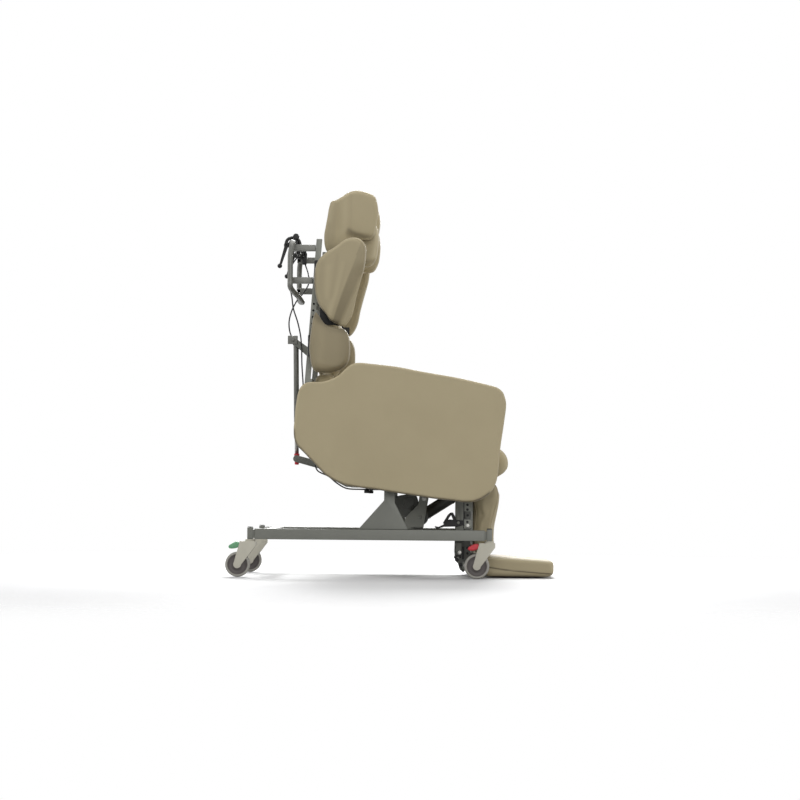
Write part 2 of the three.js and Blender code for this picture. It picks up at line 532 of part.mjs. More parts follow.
function addBackFrame() {
  const halfWide = back.uprightWide / 2;
  const halfDeep = back.uprightDeep / 2;
  const slatFront = halfDeep + back.slatThick;
  const eye = reclineShaftRadius + seat.shaftWall;
  const parts = [];
  for (const { sign } of sides) {
    const mid = sign * back.uprightMid;
    const upright = leaning(-halfDeep, halfDeep, mid - halfWide, mid + halfWide, back.footZ, back.topZ);
    const holes = [];
    for (let i = 0; i < back.holeCount; i += 1) {
      const z = heightAt(firstHoleShare) + i * back.holePitch;
      holes.push(crossPin(uprightX(z), z, back.holeRadius, mid - back.uprightWide, mid + back.uprightWide, 8));
    }
    parts.push(cut(upright, ...holes));
    const plateInner = sign * (back.uprightMid + halfWide - overrun);
    const plateOuter = sign * (back.uprightMid + halfWide + back.plateThick);
    const plateTop = back.footZ + back.plateTall;
    const plate = sidePlate([
      [reclineX, reclineZ - eye], [reclineX + eye, reclineZ - eye / 2], [reclineX + eye, reclineZ + eye / 2],
      [uprightX(plateTop) + back.uprightDeep + back.plateThick, plateTop], [uprightX(plateTop) - halfDeep, plateTop],
      [back.footX - halfDeep, back.footZ], [back.footX, back.footZ - back.footDrop]], plateInner, plateOuter);
    const boss = crossPin(reclineX, reclineZ, eye - overrun, plateOuter - sign * overrun,
      sign * (seat.sideInner - seatGap));
    const hole = crossPin(reclineX, reclineZ, reclineShaftRadius + seatGap, 0, 2 * plateOuter);
    parts.push(cut(join(plate, boss), hole));
  }
  const span = back.uprightMid + halfWide;
  for (const z of slatShares.map(heightAt)) {
    parts.push(leaning(halfDeep - overrun, slatFront, -span, span, z, z + back.slatTall));
  }
  const tubeZ = heightAt(strutTubeShare);
  parts.push(leaning(-halfDeep, halfDeep, -back.uprightMid, back.uprightMid, tubeZ, tubeZ + back.tubeTall));
  const lugRoot = uprightX(tubeZ) - halfDeep + overrun;
  for (const { sign } of sides) {
    const inner = sign * seat.lugInner;
    const outer = sign * seat.lugOuter;
    parts.push(crossPin(strutHead.x, strutHead.z, strut.eyeRadius, inner, outer));
    parts.push(sidePlate([
      [strutHead.x, strutHead.z - strut.eyeRadius], [lugRoot, tubeZ], [lugRoot, tubeZ + back.tubeTall - 2 * overrun],
      [strutHead.x, strutHead.z + strut.eyeRadius]], inner, outer));
  }
  parts.push(crossPin(strutHead.x, strutHead.z, strut.headPin, -seat.lugOuter, seat.lugOuter, boltSides));
  const guideLow = heightAt(guideShare);
  const guideHalf = head.barHalf + head.guideWall;
  const guide = leaning(-halfDeep, halfDeep, -guideHalf, guideHalf, guideLow, guideLow + head.guideTall);
  const guideBore = leaning(-head.barThick / 2 - seatGap, head.barThick / 2 + seatGap, -head.barHalf - seatGap,
    head.barHalf + seatGap, guideLow - 2 * overrun, guideLow + head.guideTall + 2 * overrun);
  parts.push(cut(guide, guideBore));
  add('back_frame', join(...parts), frame);
}

// Lower and upper ends of each back cushion, as shares of the uprights' height
const backCushions = {
  hip_cushion: { deep: 98, half: back.hipHalf, endShares: [0.022, 0.33] },
  lumbar_cushion: { deep: 88, half: back.cushionHalf, endShares: [0.339, 0.6315] },
  thoracic_cushion: { deep: 82, half: back.cushionHalf, endShares: [0.6405, 0.872] },
};

function addBackCushions() {
  const rear = back.uprightDeep / 2 + back.slatThick + back.cushionGap;
  for (const [name, { deep, half, endShares }] of Object.entries(backCushions)) {
    add(name, backCushion(rear, deep, ...endShares.map(heightAt), half), upholstery);
  }
}

const upperWingShares = [
  [0.57, 0.98], [0.77, 1.0], [0.91, 0.975], [0.985, 0.89], [1.0, 0.76], [0.95, 0.615], [0.825, 0.29], [0.71, 0.11],
  [0.6, 0.01], [0.48, 0.0], [0.28, 0.05], [0.1, 0.19], [0.01, 0.345], [0.0, 0.51], [0.015, 0.71], [0.09, 0.81],
  [0.29, 0.89]];
const lumbarWingShares = [
  [0.15, 0.985], [0.22, 0.93], [0.4, 0.76], [0.66, 0.7], [0.86, 0.68], [0.96, 0.58], [1.0, 0.43], [0.99, 0.23],
  [0.9, 0.1], [0.74, 0.03], [0.49, 0.0], [0.225, 0.02], [0.08, 0.1], [0.015, 0.24], [0.0, 0.445], [0.05, 0.7],
  [0.09, 0.9]];
const wingForms = {
  upper_wing: { shares: upperWingShares, ahead: 37, reach: 171, endShares: [0.566, 1.0134], knuckleShare: 0.7875 },
  lumbar_wing: { shares: lumbarWingShares, ahead: 23, reach: 133, endShares: [0.333, 0.6493], knuckleShare: 0.416 },
};

function addWings({ word, sign }) {
  for (const [name, { shares, ahead, reach, endShares, knuckleShare }] of Object.entries(wingForms)) {
    const [low, top] = endShares.map(heightAt);
    const box = { rear: back.footX + ahead, front: back.footX + ahead + reach, low, top };
    const knuckleZ = heightAt(knuckleShare);
    const ring = outlineOf(shares, box, 20);
    const pad = paddedForm(ring, sign * wingMid, wing.thickness / 2, wingStationShares, 1);
    const face = back.uprightMid + back.uprightWide / 2;
    const axisY = sign * (face + wing.knuckleGap + wing.knuckleRadius);
    const axisX = uprightX(knuckleZ + wing.knuckleTall / 2);
    const knuckle = rod([axisX, axisY, knuckleZ], [axisX, axisY, knuckleZ + wing.knuckleTall], wing.knuckleRadius,
      boltSides);
    const leaf = block(axisX, (box.rear + box.front) / 2, axisY, axisY + sign * wing.leaf, knuckleZ,
      knuckleZ + wing.knuckleTall);
    add(`${name}_${word}`, join(pad, knuckle, leaf), upholstery);
  }
}

function addStrut() {
  const run = new THREE.Vector2(strutHead.x + strut.outerRadius - strutFoot.x, strutHead.z - strutFoot.z);
  const along = run.clone().normalize();
  const spot = (z) => [strutFoot.x + along.x / along.y * (z - strutFoot.z), 0, z];
  const sleeveTop = strutHead.z - strut.eyeRadius / 2;
  const sleeve = rod(spot(strut.outerBottom), spot(sleeveTop), strut.outerRadius);
  const eye = crossPin(strutHead.x, strutHead.z, strut.eyeRadius, -strut.eyeHalf, strut.eyeHalf);
  const neck = sidePlate([
    [strutHead.x, strutHead.z - strut.eyeRadius], [spot(sleeveTop)[0] + strut.outerRadius / 2, sleeveTop - 20],
    [spot(sleeveTop)[0] + strut.outerRadius / 2, sleeveTop], [strutHead.x, strutHead.z + strut.eyeRadius]],
  -strut.outerRadius / 2, strut.outerRadius / 2);
  const bore = rod(spot(strut.outerBottom - overrun), spot(sleeveTop - 2 * strut.capLength),
    strut.innerRadius + strut.boreGap, boltSides);
  const pinHole = crossPin(strutHead.x, strutHead.z, strut.headPin + seatGap, -strut.eyeRadius, strut.eyeRadius,
    boltSides);
  add('recline_strut_sleeve', cut(join(sleeve, eye, neck), bore, pinHole), handleSteel);
  const footEye = crossPin(strutFoot.x, strutFoot.z, strut.eyeRadius, -strut.eyeHalf, strut.eyeHalf);
  const tip = rod([strutFoot.x, 0, strutFoot.z - strut.eyeRadius - 8], [strutFoot.x, 0, strutFoot.z],
    strut.innerRadius, boltSides);
  const inner = rod([strutFoot.x, 0, strutFoot.z], spot(strut.innerTop), strut.innerRadius, boltSides);
  const footHole = crossPin(strutFoot.x, strutFoot.z, strut.eyeBore, -strut.eyeRadius, strut.eyeRadius);
  add('recline_strut_rod', cut(join(footEye, inner, tip), footHole), handleSteel);
}

// Head support

const headWingShares = [
  [0.625, 1], [0.752, 0.976], [0.855, 0.947], [0.941, 0.896], [0.98, 0.797], [1, 0.674], [0.984, 0.53],
  [0.959, 0.409], [0.925, 0.281], [0.855, 0.215], [0.709, 0.201], [0.529, 0.182], [0.406, 0.094], [0.26, 0.017],
  [0.148, 0], [0.058, 0.012], [0.015, 0.097], [0, 0.274], [0.026, 0.419], [0.058, 0.579], [0.086, 0.724],
  [0.125, 0.816], [0.218, 0.845], [0.333, 0.903], [0.417, 0.954], [0.501, 0.984]];
const shoulderWingShares = [
  [0.52, 0.0], [0.68, 0.0], [0.83, 0.035], [0.945, 0.19], [0.99, 0.38], [1.0, 0.555], [0.955, 0.775],
  [0.815, 0.94], [0.56, 1.0], [0.25, 0.94], [0.045, 0.735], [0.0, 0.44], [0.1, 0.17], [0.29, 0.035]];

const headWingForms = {
  head_wing: { shares: headWingShares, ahead: 64.7, reach: 178.1, lowShare: 0.9443, tall: 206.5, thick: head.wingThick,
    side: 1 },
  shoulder_wing: { shares: shoulderWingShares, ahead: 115, reach: 130, lowShare: stepShare, tall: 169,
    thick: head.shoulderThick, side: -1 },
};
const tongueGap = seatGap + overrun;

function addHead() {
  const barHalf = head.barThick / 2;
  const rear = head.step - barHalf;
  const front = head.step + barHalf;
  const padRear = front + head.plateThick;
  const tongueHalf = head.tongueThick / 2;
  const tongueOut = head.tongueMid + tongueHalf;
  const stepLow = heightAt(stepShare);
  const stepTop = stepLow + head.stepTall;
  const crossLow = back.topZ + head.crossRise;
  const plateLow = back.topZ + head.plateRise;
  const tongueLow = back.topZ + head.tongueRise;
  const parts = [
    leaning(-barHalf, barHalf, -head.barHalf, head.barHalf, heightAt(barLowShare), stepTop),
    leaning(-barHalf, front, -head.barHalf, head.barHalf, stepLow, stepTop),
    leaning(rear, front, -head.barHalf, head.barHalf, stepLow, back.topZ + head.barRise),
    leaning(rear, front, -tongueOut, tongueOut, crossLow, crossLow + head.crossTall),
    leaning(front - overrun, padRear - seatGap, -head.plateHalf, head.plateHalf, plateLow,
      plateLow + head.plateTall)];
  for (const { sign } of sides) {
    const mid = sign * head.tongueMid;
    parts.push(leaning(rear, head.tongueReach, mid - tongueHalf, mid + tongueHalf, tongueLow,
      tongueLow + head.tongueTall));
  }
  add('head_post', join(...parts), frame);
  const padLow = back.topZ - head.padDrop;
  add('head_cushion', backCushion(padRear, head.padDeep, padLow, padLow + head.padTall, head.padHalf), upholstery);
  for (const { word, sign } of sides) {
    for (const [name, { shares, ahead, reach, lowShare, tall, thick, side }] of Object.entries(headWingForms)) {
      const mid = sign * (head.tongueMid + side * (tongueHalf + tongueGap + thick / 2));
      const low = heightAt(lowShare);
      const wingRear = back.footX + ahead;
      const ring = outlineOf(shares, { rear: wingRear, front: wingRear + reach, low, top: low + tall }, 20);
      add(`${name}_${word}`, paddedForm(ring, mid, thick / 2, wingStationShares, 1), upholstery);
    }
  }
}

// Push handle, levers and cables

function addHandle() {
  const { radius, corner } = handle;
  const { x, half, topZ } = pushBar;
  const sideLow = topZ - handle.sideDrop;
  const bowZ = topZ - handle.bowDrop;
  const bowX = x + handle.bowAhead;
  const ahead = x + handle.barAhead;
  const mirrored = (points) => [...points, ...points.map(([px, py, pz]) => [px, -py, pz]).reverse()];
  const upper = bentTube(mirrored([
    [x, -half, sideLow - handle.overlap], [x, -half, sideLow + handle.straight],
    [x, -half, topZ - corner - handle.bendDrop], [x + handle.bendAhead, handle.bendIn - half, topZ - corner],
    [x + handle.cornerAhead, corner / 3 - half, topZ - corner / 3], [ahead, corner - half, topZ],
    [ahead, corner + handle.run - half, topZ], [ahead, -half / 2, topZ]]), radius, 32, tubeSides);
  const bow = [
    [x, -half, sideLow], [x, handle.turnIn - half, sideLow - handle.turnDrop],
    [x + handle.sweepAhead, -half * sweepShare, sideLow - handle.sweepDrop],
    [bowX - handle.sweepAhead, -half / 2, bowZ + handle.sweepRise]];
  const lower = bentTube([...bow, [bowX, 0, bowZ], ...mirrored(bow).slice(bow.length)], radius, 22, tubeSides);
  const parts = [upper, lower];
  for (const { sign } of sides) {
    const mid = sign * back.uprightMid;
    for (const z of [topZ - handle.upperArmDrop, sideLow - handle.lowerArmDrop]) {
      const rearFace = uprightX(z) - back.uprightDeep / 2 - seatGap;
      parts.push(block(x - radius / 2, rearFace, mid - handle.armHalf, mid + handle.armHalf, z, z + handle.armTall));
      parts.push(block(x - radius / 2, x + radius, mid - handle.armHalf, sign * half,
        z + handle.armStep, z + handle.armTall - handle.armStep));
    }
  }
  add('push_handle', join(...parts), handleSteel);
}

function addLever({ word, sign }) {
  const mid = sign * (back.uprightMid - handle.armHalf - clamp.gap - clamp.width / 2);
  const inner = mid - clamp.width / 2;
  const outer = mid + clamp.width / 2;
  const barX = pushBar.x + handle.barAhead;
  const earX = pushBar.x - clamp.earBehind;
  const earZ = pushBar.topZ - clamp.earDrop;
  const ring = crossPin(barX, pushBar.topZ, handle.radius + clamp.wall, inner, outer);
  const bore = crossPin(barX, pushBar.topZ, handle.radius + seatGap, inner - overrun, outer + overrun);
  const knob = crossPin(pushBar.x + clamp.knobAhead, pushBar.topZ + clamp.knobRise, clamp.knobRadius,
    inner + 2 * overrun, outer - 2 * overrun, boltSides);
  const ear = block(earX - clamp.wall, barX - handle.radius, inner + 3 * overrun, outer - 3 * overrun,
    earZ - clamp.wall - overrun, earZ + clamp.wall + overrun);
  const leverInner = mid + sign * (clamp.width / 2 + overrun);
  const pin = crossPin(earX, earZ, lever.pinRadius, mid, leverInner + sign * (lever.thick + overrun), boltSides);
  add(`lever_clamp_${word}`, cut(join(ring, knob, ear, pin), bore), blackPlastic);

  const tip = [earX - lever.back, earZ - lever.reach];
  const halfWide = lever.wide / 2;
  const blade = sidePlate([
    [earX - halfWide, earZ], [tip[0] - 3, tip[1]], [tip[0] + 4, tip[1] - 2],
    [earX + halfWide, earZ]], leverInner, leverInner + sign * lever.thick);
  const eye = crossPin(earX, earZ, halfWide + 3, leverInner, leverInner + sign * lever.thick, boltSides);
  const ball = new THREE.SphereGeometry(lever.ballRadius, 12, 8);
  ball.translate(tip[0], leverInner + sign * lever.thick / 2, tip[1]);
  const hole = crossPin(earX, earZ, lever.pinRadius + seatGap, leverInner - sign, leverInner
    + sign * (lever.thick + 2), boltSides);
  add(`release_lever_${word}`, cut(join(blade, eye, ball), hole), blackPlastic);
}

// Each lever cable: points as drops below the bar, then as shares of the height left above its end
const leverCables = {
  right: {
    count: 44, endZ: 424,
    drops: [
      [-609.8, -184, 9.5], [-605.1, -184, 13.2], [-604, -184, 36], [-626, -182, 71], [-634, -172, 106],
      [-634, -150, 144], [-630, -112, 176], [-627, -70, 211],
    ],
    shares: [
      [-614, -36, 0.9106], [-604, -26, 0.8129], [-600, -30, 0.7193], [-598, -40, 0.6154],
      [-592, -62, 0.4699], [-588, -92, 0.3243], [-584, -112, 0.1996], [-581, -120, 0.1164],
      [-568, -122, 0.0582], [-536, -122, 0.0291], [-506, -122, 0],
    ],
  },
  left: {
    count: 30, endZ: 802,
    drops: [
      [-609.8, 184, 9.5], [-605.1, 184, 13.2], [-602, 183, 34], [-590, 168, 71], [-588, 140, 108],
      [-604, 108, 142], [-624, 78, 171], [-641, 52, 211],
    ],
    shares: [
      [-648, 38, 0.6408], [-645, 32, 0.3301], [-636, 30, 0.0971], [-629, 24, 0], [-629, 18.4, 0],
    ],
  },
};
const seatCablePoints = [
  [-504, -122, 411], [-524, -122, 400], [-545, -120, 386], [-538, -116, 356], [-500, -110, 336], [-470, -104, 312],
  [-440, -98, 296], [-390, -92, 293], [-280, -86, 293], [-170, -80, 294], [-90, -68, 294], [-42, -44, 298],
  [-25, -25, 305], [-25, -18.4, 305]];

function addCables() {
  for (const [word, { count, endZ, drops, shares }] of Object.entries(leverCables)) {
    const lowest = pushBar.topZ - drops[drops.length - 1][2];
    const points = [
      ...drops.map(([x, y, drop]) => [x, y, pushBar.topZ - drop]),
      ...shares.map(([x, y, share]) => [x, y, endZ + share * (lowest - endZ)])];
    add(`lever_cable_${word}`, bentTube(points, cableRadius, count, cableSides), blackPlastic);
  }
  add('lever_cable_seat', bentTube(seatCablePoints, cableRadius, 28, cableSides), blackPlastic);
}

// Leg rest

function addLegRest() {
  const half = leg.tube / 2;
  const slideHalf = leg.slideTube / 2;
  const wall = leg.collarWall;
  const parts = [];
  for (const { sign } of sides) {
    const mid = sign * leg.mid;
    const kneeInner = sign * leg.kneeInner;
    const kneeOuter = sign * (leg.kneeInner + leg.kneePlate);
    const barMid = leg.barLow + leg.barTall / 2;
    const strapHalf = leg.strapWide / 2;
    const strap = sidePlate([
      [kneeX - strapHalf, kneeZ], [leg.rearTubeX - half, barMid + strapHalf], [leg.rearTubeX - half, leg.barLow],
      [leg.rearTubeX + half, leg.barLow], [kneeX + strapHalf, kneeZ - strapHalf / 2]], kneeInner, kneeOuter);
    const eye = crossPin(kneeX, kneeZ, leg.kneeRadius, kneeInner, kneeOuter);
    const hole = crossPin(kneeX, kneeZ, kneePinRadius + seatGap, kneeInner - sign * overrun, kneeOuter + sign
      * overrun, boltSides);
    parts.push(cut(join(strap, eye), hole));
    parts.push(block(leg.rearTubeX - half, leg.rearTubeX + half, mid - sign * half, kneeOuter, leg.barLow,
      leg.barLow + leg.barTall));
    parts.push(block(leg.rearTubeX - half, leg.rearTubeX + half, mid - half, mid + half, leg.tubeLow,
      leg.barLow + overrun));
    for (const low of [leg.collarLow, leg.collarHigh]) {
      const collar = block(leg.rearTubeX + half - overrun, leg.frontTubeX + slideHalf + wall + overrun,
        mid - slideHalf - wall, mid + slideHalf + wall, low, low + leg.collarTall);
      const boreHalf = slideHalf + seatGap;
      const bore = block(leg.frontTubeX - boreHalf, leg.frontTubeX + boreHalf, mid - boreHalf, mid + boreHalf,
        low - overrun, low + leg.collarTall + overrun);
      parts.push(cut(collar, bore));
    }
  }
  const plateRear = leg.frontTubeX + slideHalf + wall;
  parts.push(block(plateRear, plateRear + leg.backPlate, -leg.backHalf, leg.backHalf, leg.backLow, leg.backTop));
  const leverFace = -(leg.mid + half);
  parts.push(crossPin(legLever.x, legLever.z, legLever.pinRadius, leverFace + overrun, leverFace - 2 * overrun
    - legLever.thick, boltSides));
  add('leg_frame', join(...parts), frame);
  addLegSlide(slideHalf);
  addLegPads(plateRear + leg.backPlate + seatGap);
  addLegLever(leverFace);
}

const footArmShares = [[1.5, 0.2], [0.86, 0], [0.5, 0.1], [0.06, 0.5], [0, 0.62], [0.03, 1], [1.06, 1]];

function addLegSlide(half) {
  const rear = leg.frontTubeX - half;
  const front = leg.frontTubeX + half;
  const parts = [block(rear, front, -leg.mid - half, leg.mid + half, leg.slideLow, leg.slideLow + leg.slideBar)];
  for (const { sign } of sides) {
    const mid = sign * leg.mid;
    parts.push(block(rear, front, mid - half, mid + half, leg.slideLow, leg.slideTop));
    const armInner = sign * foot.armInner;
    const armOuter = sign * (foot.armInner + foot.armThick);
    const outline = footArmShares.map(([u, v]) => [
      foot.armRear + u * (rear - foot.armRear), foot.armLow + v * (foot.armTop - foot.armLow)]);
    parts.push(sidePlate([
      ...outline, [front, leg.slideLow + leg.slideBar], [foot.pivotX, foot.pivotZ + foot.eyeRadius],
      [foot.pivotX + foot.eyeRadius, foot.pivotZ], [foot.pivotX, foot.pivotZ - foot.eyeRadius]], armInner, armOuter));
    parts.push(crossPin(foot.pivotX, foot.pivotZ, foot.pinRadius, sign * (foot.half - foot.pinReach), armOuter,
      boltSides));
  }
  add('leg_slide', join(...parts), darkSteel);
}

const legPadShares = [
  [0.0, 0.02], [0.08, 0.0], [0.43, 0.0], [0.654, 0.005], [0.727, 0.06], [0.736, 0.25], [0.763, 0.38], [0.863, 0.55],
  [0.954, 0.7], [1.0, 0.85], [0.982, 0.96], [0.891, 1.0], [0.654, 0.99], [0.472, 0.93], [0.344, 0.895], [0.12, 0.88],
  [0.0, 0.82], [0.0, 0.45]];
const footPadShares = [
  [0.0, 0.9], [0.0, 0.3], [0.03, 0.06], [0.1, 0.0], [0.3, 0.0], [0.6, 0.0], [0.88, 0.0], [0.97, 0.08], [1.0, 0.28], [1.0, 0.55], [0.985, 0.74],
  [0.95, 0.8], [0.5, 0.92], [0.05, 1.0]];

function addLegPads(rear) {
  const top = kneeZ - legClearRadius;
  const ring = outlineOf(legPadShares, { rear, front: legPad.front, low: legPad.low, top }, 30);
  add('leg_pad', paddedForm(ring, 0, legPad.half, cushionStationShares, 0), upholstery);
  const footRing = outlineOf(footPadShares, { rear: foot.rear, front: foot.front, low: foot.low, top: foot.top }, 28);
  const holes = sides.map(({ sign }) => crossPin(foot.pivotX, foot.pivotZ, foot.pinRadius + seatGap,
    sign * (foot.half - foot.pinReach - 1), sign * (foot.half + overrun), boltSides));
  add('footplate', cut(paddedForm(footRing, 0, foot.half, panelStationShares, 0), ...holes), upholstery);
}

const legLeverShares = [
  [0.24, 0.09], [-0.13, 0.13], [-0.58, 0.08], [-0.63, -0.08], [-0.84, -0.18], [-0.99, -0.15], [-1, -0.2],
  [-0.89, -0.27], [-0.61, -0.18], [-0.13, -0.165], [0.06, -0.14], [0.24, -0.08]];

function addLegLever(face) {
  const { x, z, reach, thick } = legLever;
  const inner = face - overrun;
  const outline = legLeverShares.map(([u, v]) => [x + u * reach, z + v * reach]);
  const hole = crossPin(x, z, legLever.pinRadius + seatGap, inner + 2, inner - thick - 2, boltSides);
  add('leg_release_lever', cut(sidePlate(outline, inner, inner - thick), hole), blackPlastic);
}

addBase();
addTowers();
addTiltSpring();
for (const { word, sign } of sides) {
  addCastor(`front_${word}`, frontStemX, sign, brakeRed);
  addCastor(`rear_${word}`, rearStemX, sign, lockGreen);
}
addSeatFrame();
addSeatCushion();
sides.forEach(addArm);
addBackFrame();
addBackCushions();
sides.forEach(addWings);
addStrut();
addHead();
addHandle();
sides.forEach(addLever);
addCables();
addLegRest();

// The origin lies on the floor, under the middle of the chair's length.
const reach = new THREE.Box3().setFromObject(chair);
chair.position.x = -(reach.min.x + reach.max.x) / 2;

export default chair;
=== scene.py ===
"""A tilt-in-space care chair: its upholstery, painted frame, castors, levers and cables.

Sizes are millimetres in the chair's drawing frame: x = 0 is the axle of the front castors, +X is the way the
sitter faces, +Y is the sitter's left, and z = 0 is the floor. `to_row` turns them into metres in the row
frame.
"""

from __future__ import annotations

import json
import logging
import math
from dataclasses import dataclass
from enum import Enum
from typing import Any, Callable, Sequence

import bmesh
import bpy
import numpy as np
from mathutils import Matrix

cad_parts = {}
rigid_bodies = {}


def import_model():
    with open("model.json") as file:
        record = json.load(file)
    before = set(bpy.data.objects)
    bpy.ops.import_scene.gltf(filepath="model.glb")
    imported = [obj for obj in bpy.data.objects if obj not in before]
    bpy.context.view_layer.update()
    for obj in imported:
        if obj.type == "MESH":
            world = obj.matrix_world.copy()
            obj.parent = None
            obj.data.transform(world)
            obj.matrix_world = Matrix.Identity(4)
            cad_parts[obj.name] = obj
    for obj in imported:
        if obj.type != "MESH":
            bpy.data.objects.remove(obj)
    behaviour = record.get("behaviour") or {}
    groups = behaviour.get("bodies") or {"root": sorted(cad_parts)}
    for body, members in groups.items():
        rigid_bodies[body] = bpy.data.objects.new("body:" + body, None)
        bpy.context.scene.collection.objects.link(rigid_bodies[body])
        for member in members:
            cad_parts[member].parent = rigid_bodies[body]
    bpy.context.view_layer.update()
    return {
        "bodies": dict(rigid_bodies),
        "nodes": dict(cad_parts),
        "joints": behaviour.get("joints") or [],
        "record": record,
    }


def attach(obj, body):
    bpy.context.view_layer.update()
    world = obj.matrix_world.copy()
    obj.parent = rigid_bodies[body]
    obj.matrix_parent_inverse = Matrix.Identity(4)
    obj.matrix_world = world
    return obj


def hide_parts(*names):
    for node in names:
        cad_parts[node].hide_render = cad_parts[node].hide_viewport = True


Array = np.ndarray
Relief = Callable[[Array, Array], Array]
Point = Sequence[float]
Colour = tuple[float, float, float]
Pair = tuple[float, float]
Pairs = tuple[Pair, ...]
Place = tuple[float, float, float]
Box = tuple[float, float, float, float]
Piece = bpy.types.Object
Socket = bpy.types.NodeSocket

LOG = logging.getLogger("care_chair")
MM = 0.001
ROW_SHIFT = np.array([286.75, 0.0, 0.0])
SEAM_POINTS = 360
# Distance over which a piece's painted shade and highlights set in.
PAINTED_SHADING_SETS_IN = 8.0
CREASE_SOFT = 4.0


class Side(Enum):
    """The two sides of the chair, with the sign of y on each."""

    LEFT = 1
    RIGHT = -1

    @property
    def word(self) -> str:
        """The side's word, as node names end."""
        return self.name.lower()


class Slot(Enum):
    """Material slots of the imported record."""

    FRAME = "frame"
    HANDLE = "handle_steel"
    SHAFT = "shaft_steel"
    SPRING = "spring_body"
    BRACKET = "foot_bracket"
    UPHOLSTERY = "upholstery"
    BLACK = "black_plastic"
    CABLE = "cable"
    CASTOR = "castor_plastic"
    TYRE = "castor_tyre"
    RED = "pedal_red"
    GREEN = "pedal_green"


def to_row(points: Array) -> Array:
    """Drawing millimetres, as (..., 3), to metres in the row frame, which lies further back along X."""
    return (np.asarray(points, dtype=float) + ROW_SHIFT) * MM


def from_row(points: Array) -> Array:
    """Metres in the row frame, as (..., 3), to drawing millimetres."""
    return points * 1000.0 - ROW_SHIFT


# Shader graphs


class Value:
    """A number on a shader socket, so that shader maths reads as Python."""

    def __init__(self, graph: Graph, socket: Socket) -> None:
        """Wraps an output socket of a graph."""
        self.graph = graph
        self.socket = socket

    def maths(self, operation: str, *operands: Any, clamp: bool = False) -> Value:
        """Result of a new Math node on values or numbers, held between 0 and 1 where it is clamped."""
        settings = {"operation": operation, "use_clamp": clamp}
        return self.graph.number("ShaderNodeMath", settings, dict(enumerate(operands)))

    def __add__(self, other: Any) -> Value:
        """Sum."""
        return self.maths("ADD", self, other)

    __radd__ = __add__

    def __rsub__(self, other: Any) -> Value:
        """Reflected difference."""
        return self.maths("SUBTRACT", other, self)

    def __mul__(self, other: Any) -> Value:
        """Product."""
        return self.maths("MULTIPLY", self, other)

    __rmul__ = __mul__

    def held(self) -> Value:
        """Itself, held between 0 and 1."""
        return self.maths("ADD", self, 0.0, clamp=True)

    def between(self, low: float, high: float) -> Value:
        """A smooth step from 0 at low to 1 at high."""
        settings = {"interpolation_type": "SMOOTHSTEP"}
        return self.graph.number("ShaderNodeMapRange", settings, {0: self, 1: low, 2: high})


class Graph:
    """A node tree, whose nodes all come from one method."""

    def __init__(self, owner: bpy.types.Material | bpy.types.World) -> None:
        """Takes an owner's tree over and empties it.

        Args:
            owner: The material or world.
        """
        owner.use_nodes = True
        self.tree = owner.node_tree
        self.tree.nodes.clear()

    def node(self, kind: str, settings: dict[str, Any], inputs: dict[Any, Any]) -> bpy.types.Node:
        """Adds a node.

        Args:
            kind: The node's type.
            settings: Its attributes, which are set first.
            inputs: Values, sockets or numbers by socket name or index.

        Returns:
            The node.
        """
        made = self.tree.nodes.new(kind)
        for key, value in settings.items():
            setattr(made, key, value)
        for key, value in inputs.items():
            self.feed(made.inputs[key], value)
        return made

    def feed(self, socket: Socket, value: Any) -> None:
        """Links a value or a socket to an input, or sets the input's own number.

        Args:
            socket: The input.
            value: What it gets.
        """
        if isinstance(value, Value):
            self.tree.links.new(value.socket, socket)
        elif isinstance(value, Socket):
            self.tree.links.new(value, socket)
        else:
            socket.default_value = value

    def number(self, kind: str, settings: dict[str, Any], inputs: dict[Any, Any], out: Any = 0) -> Value:
        """An output of a new node, by its name or index, as a value."""
        return Value(self, self.node(kind, settings, inputs).outputs[out])


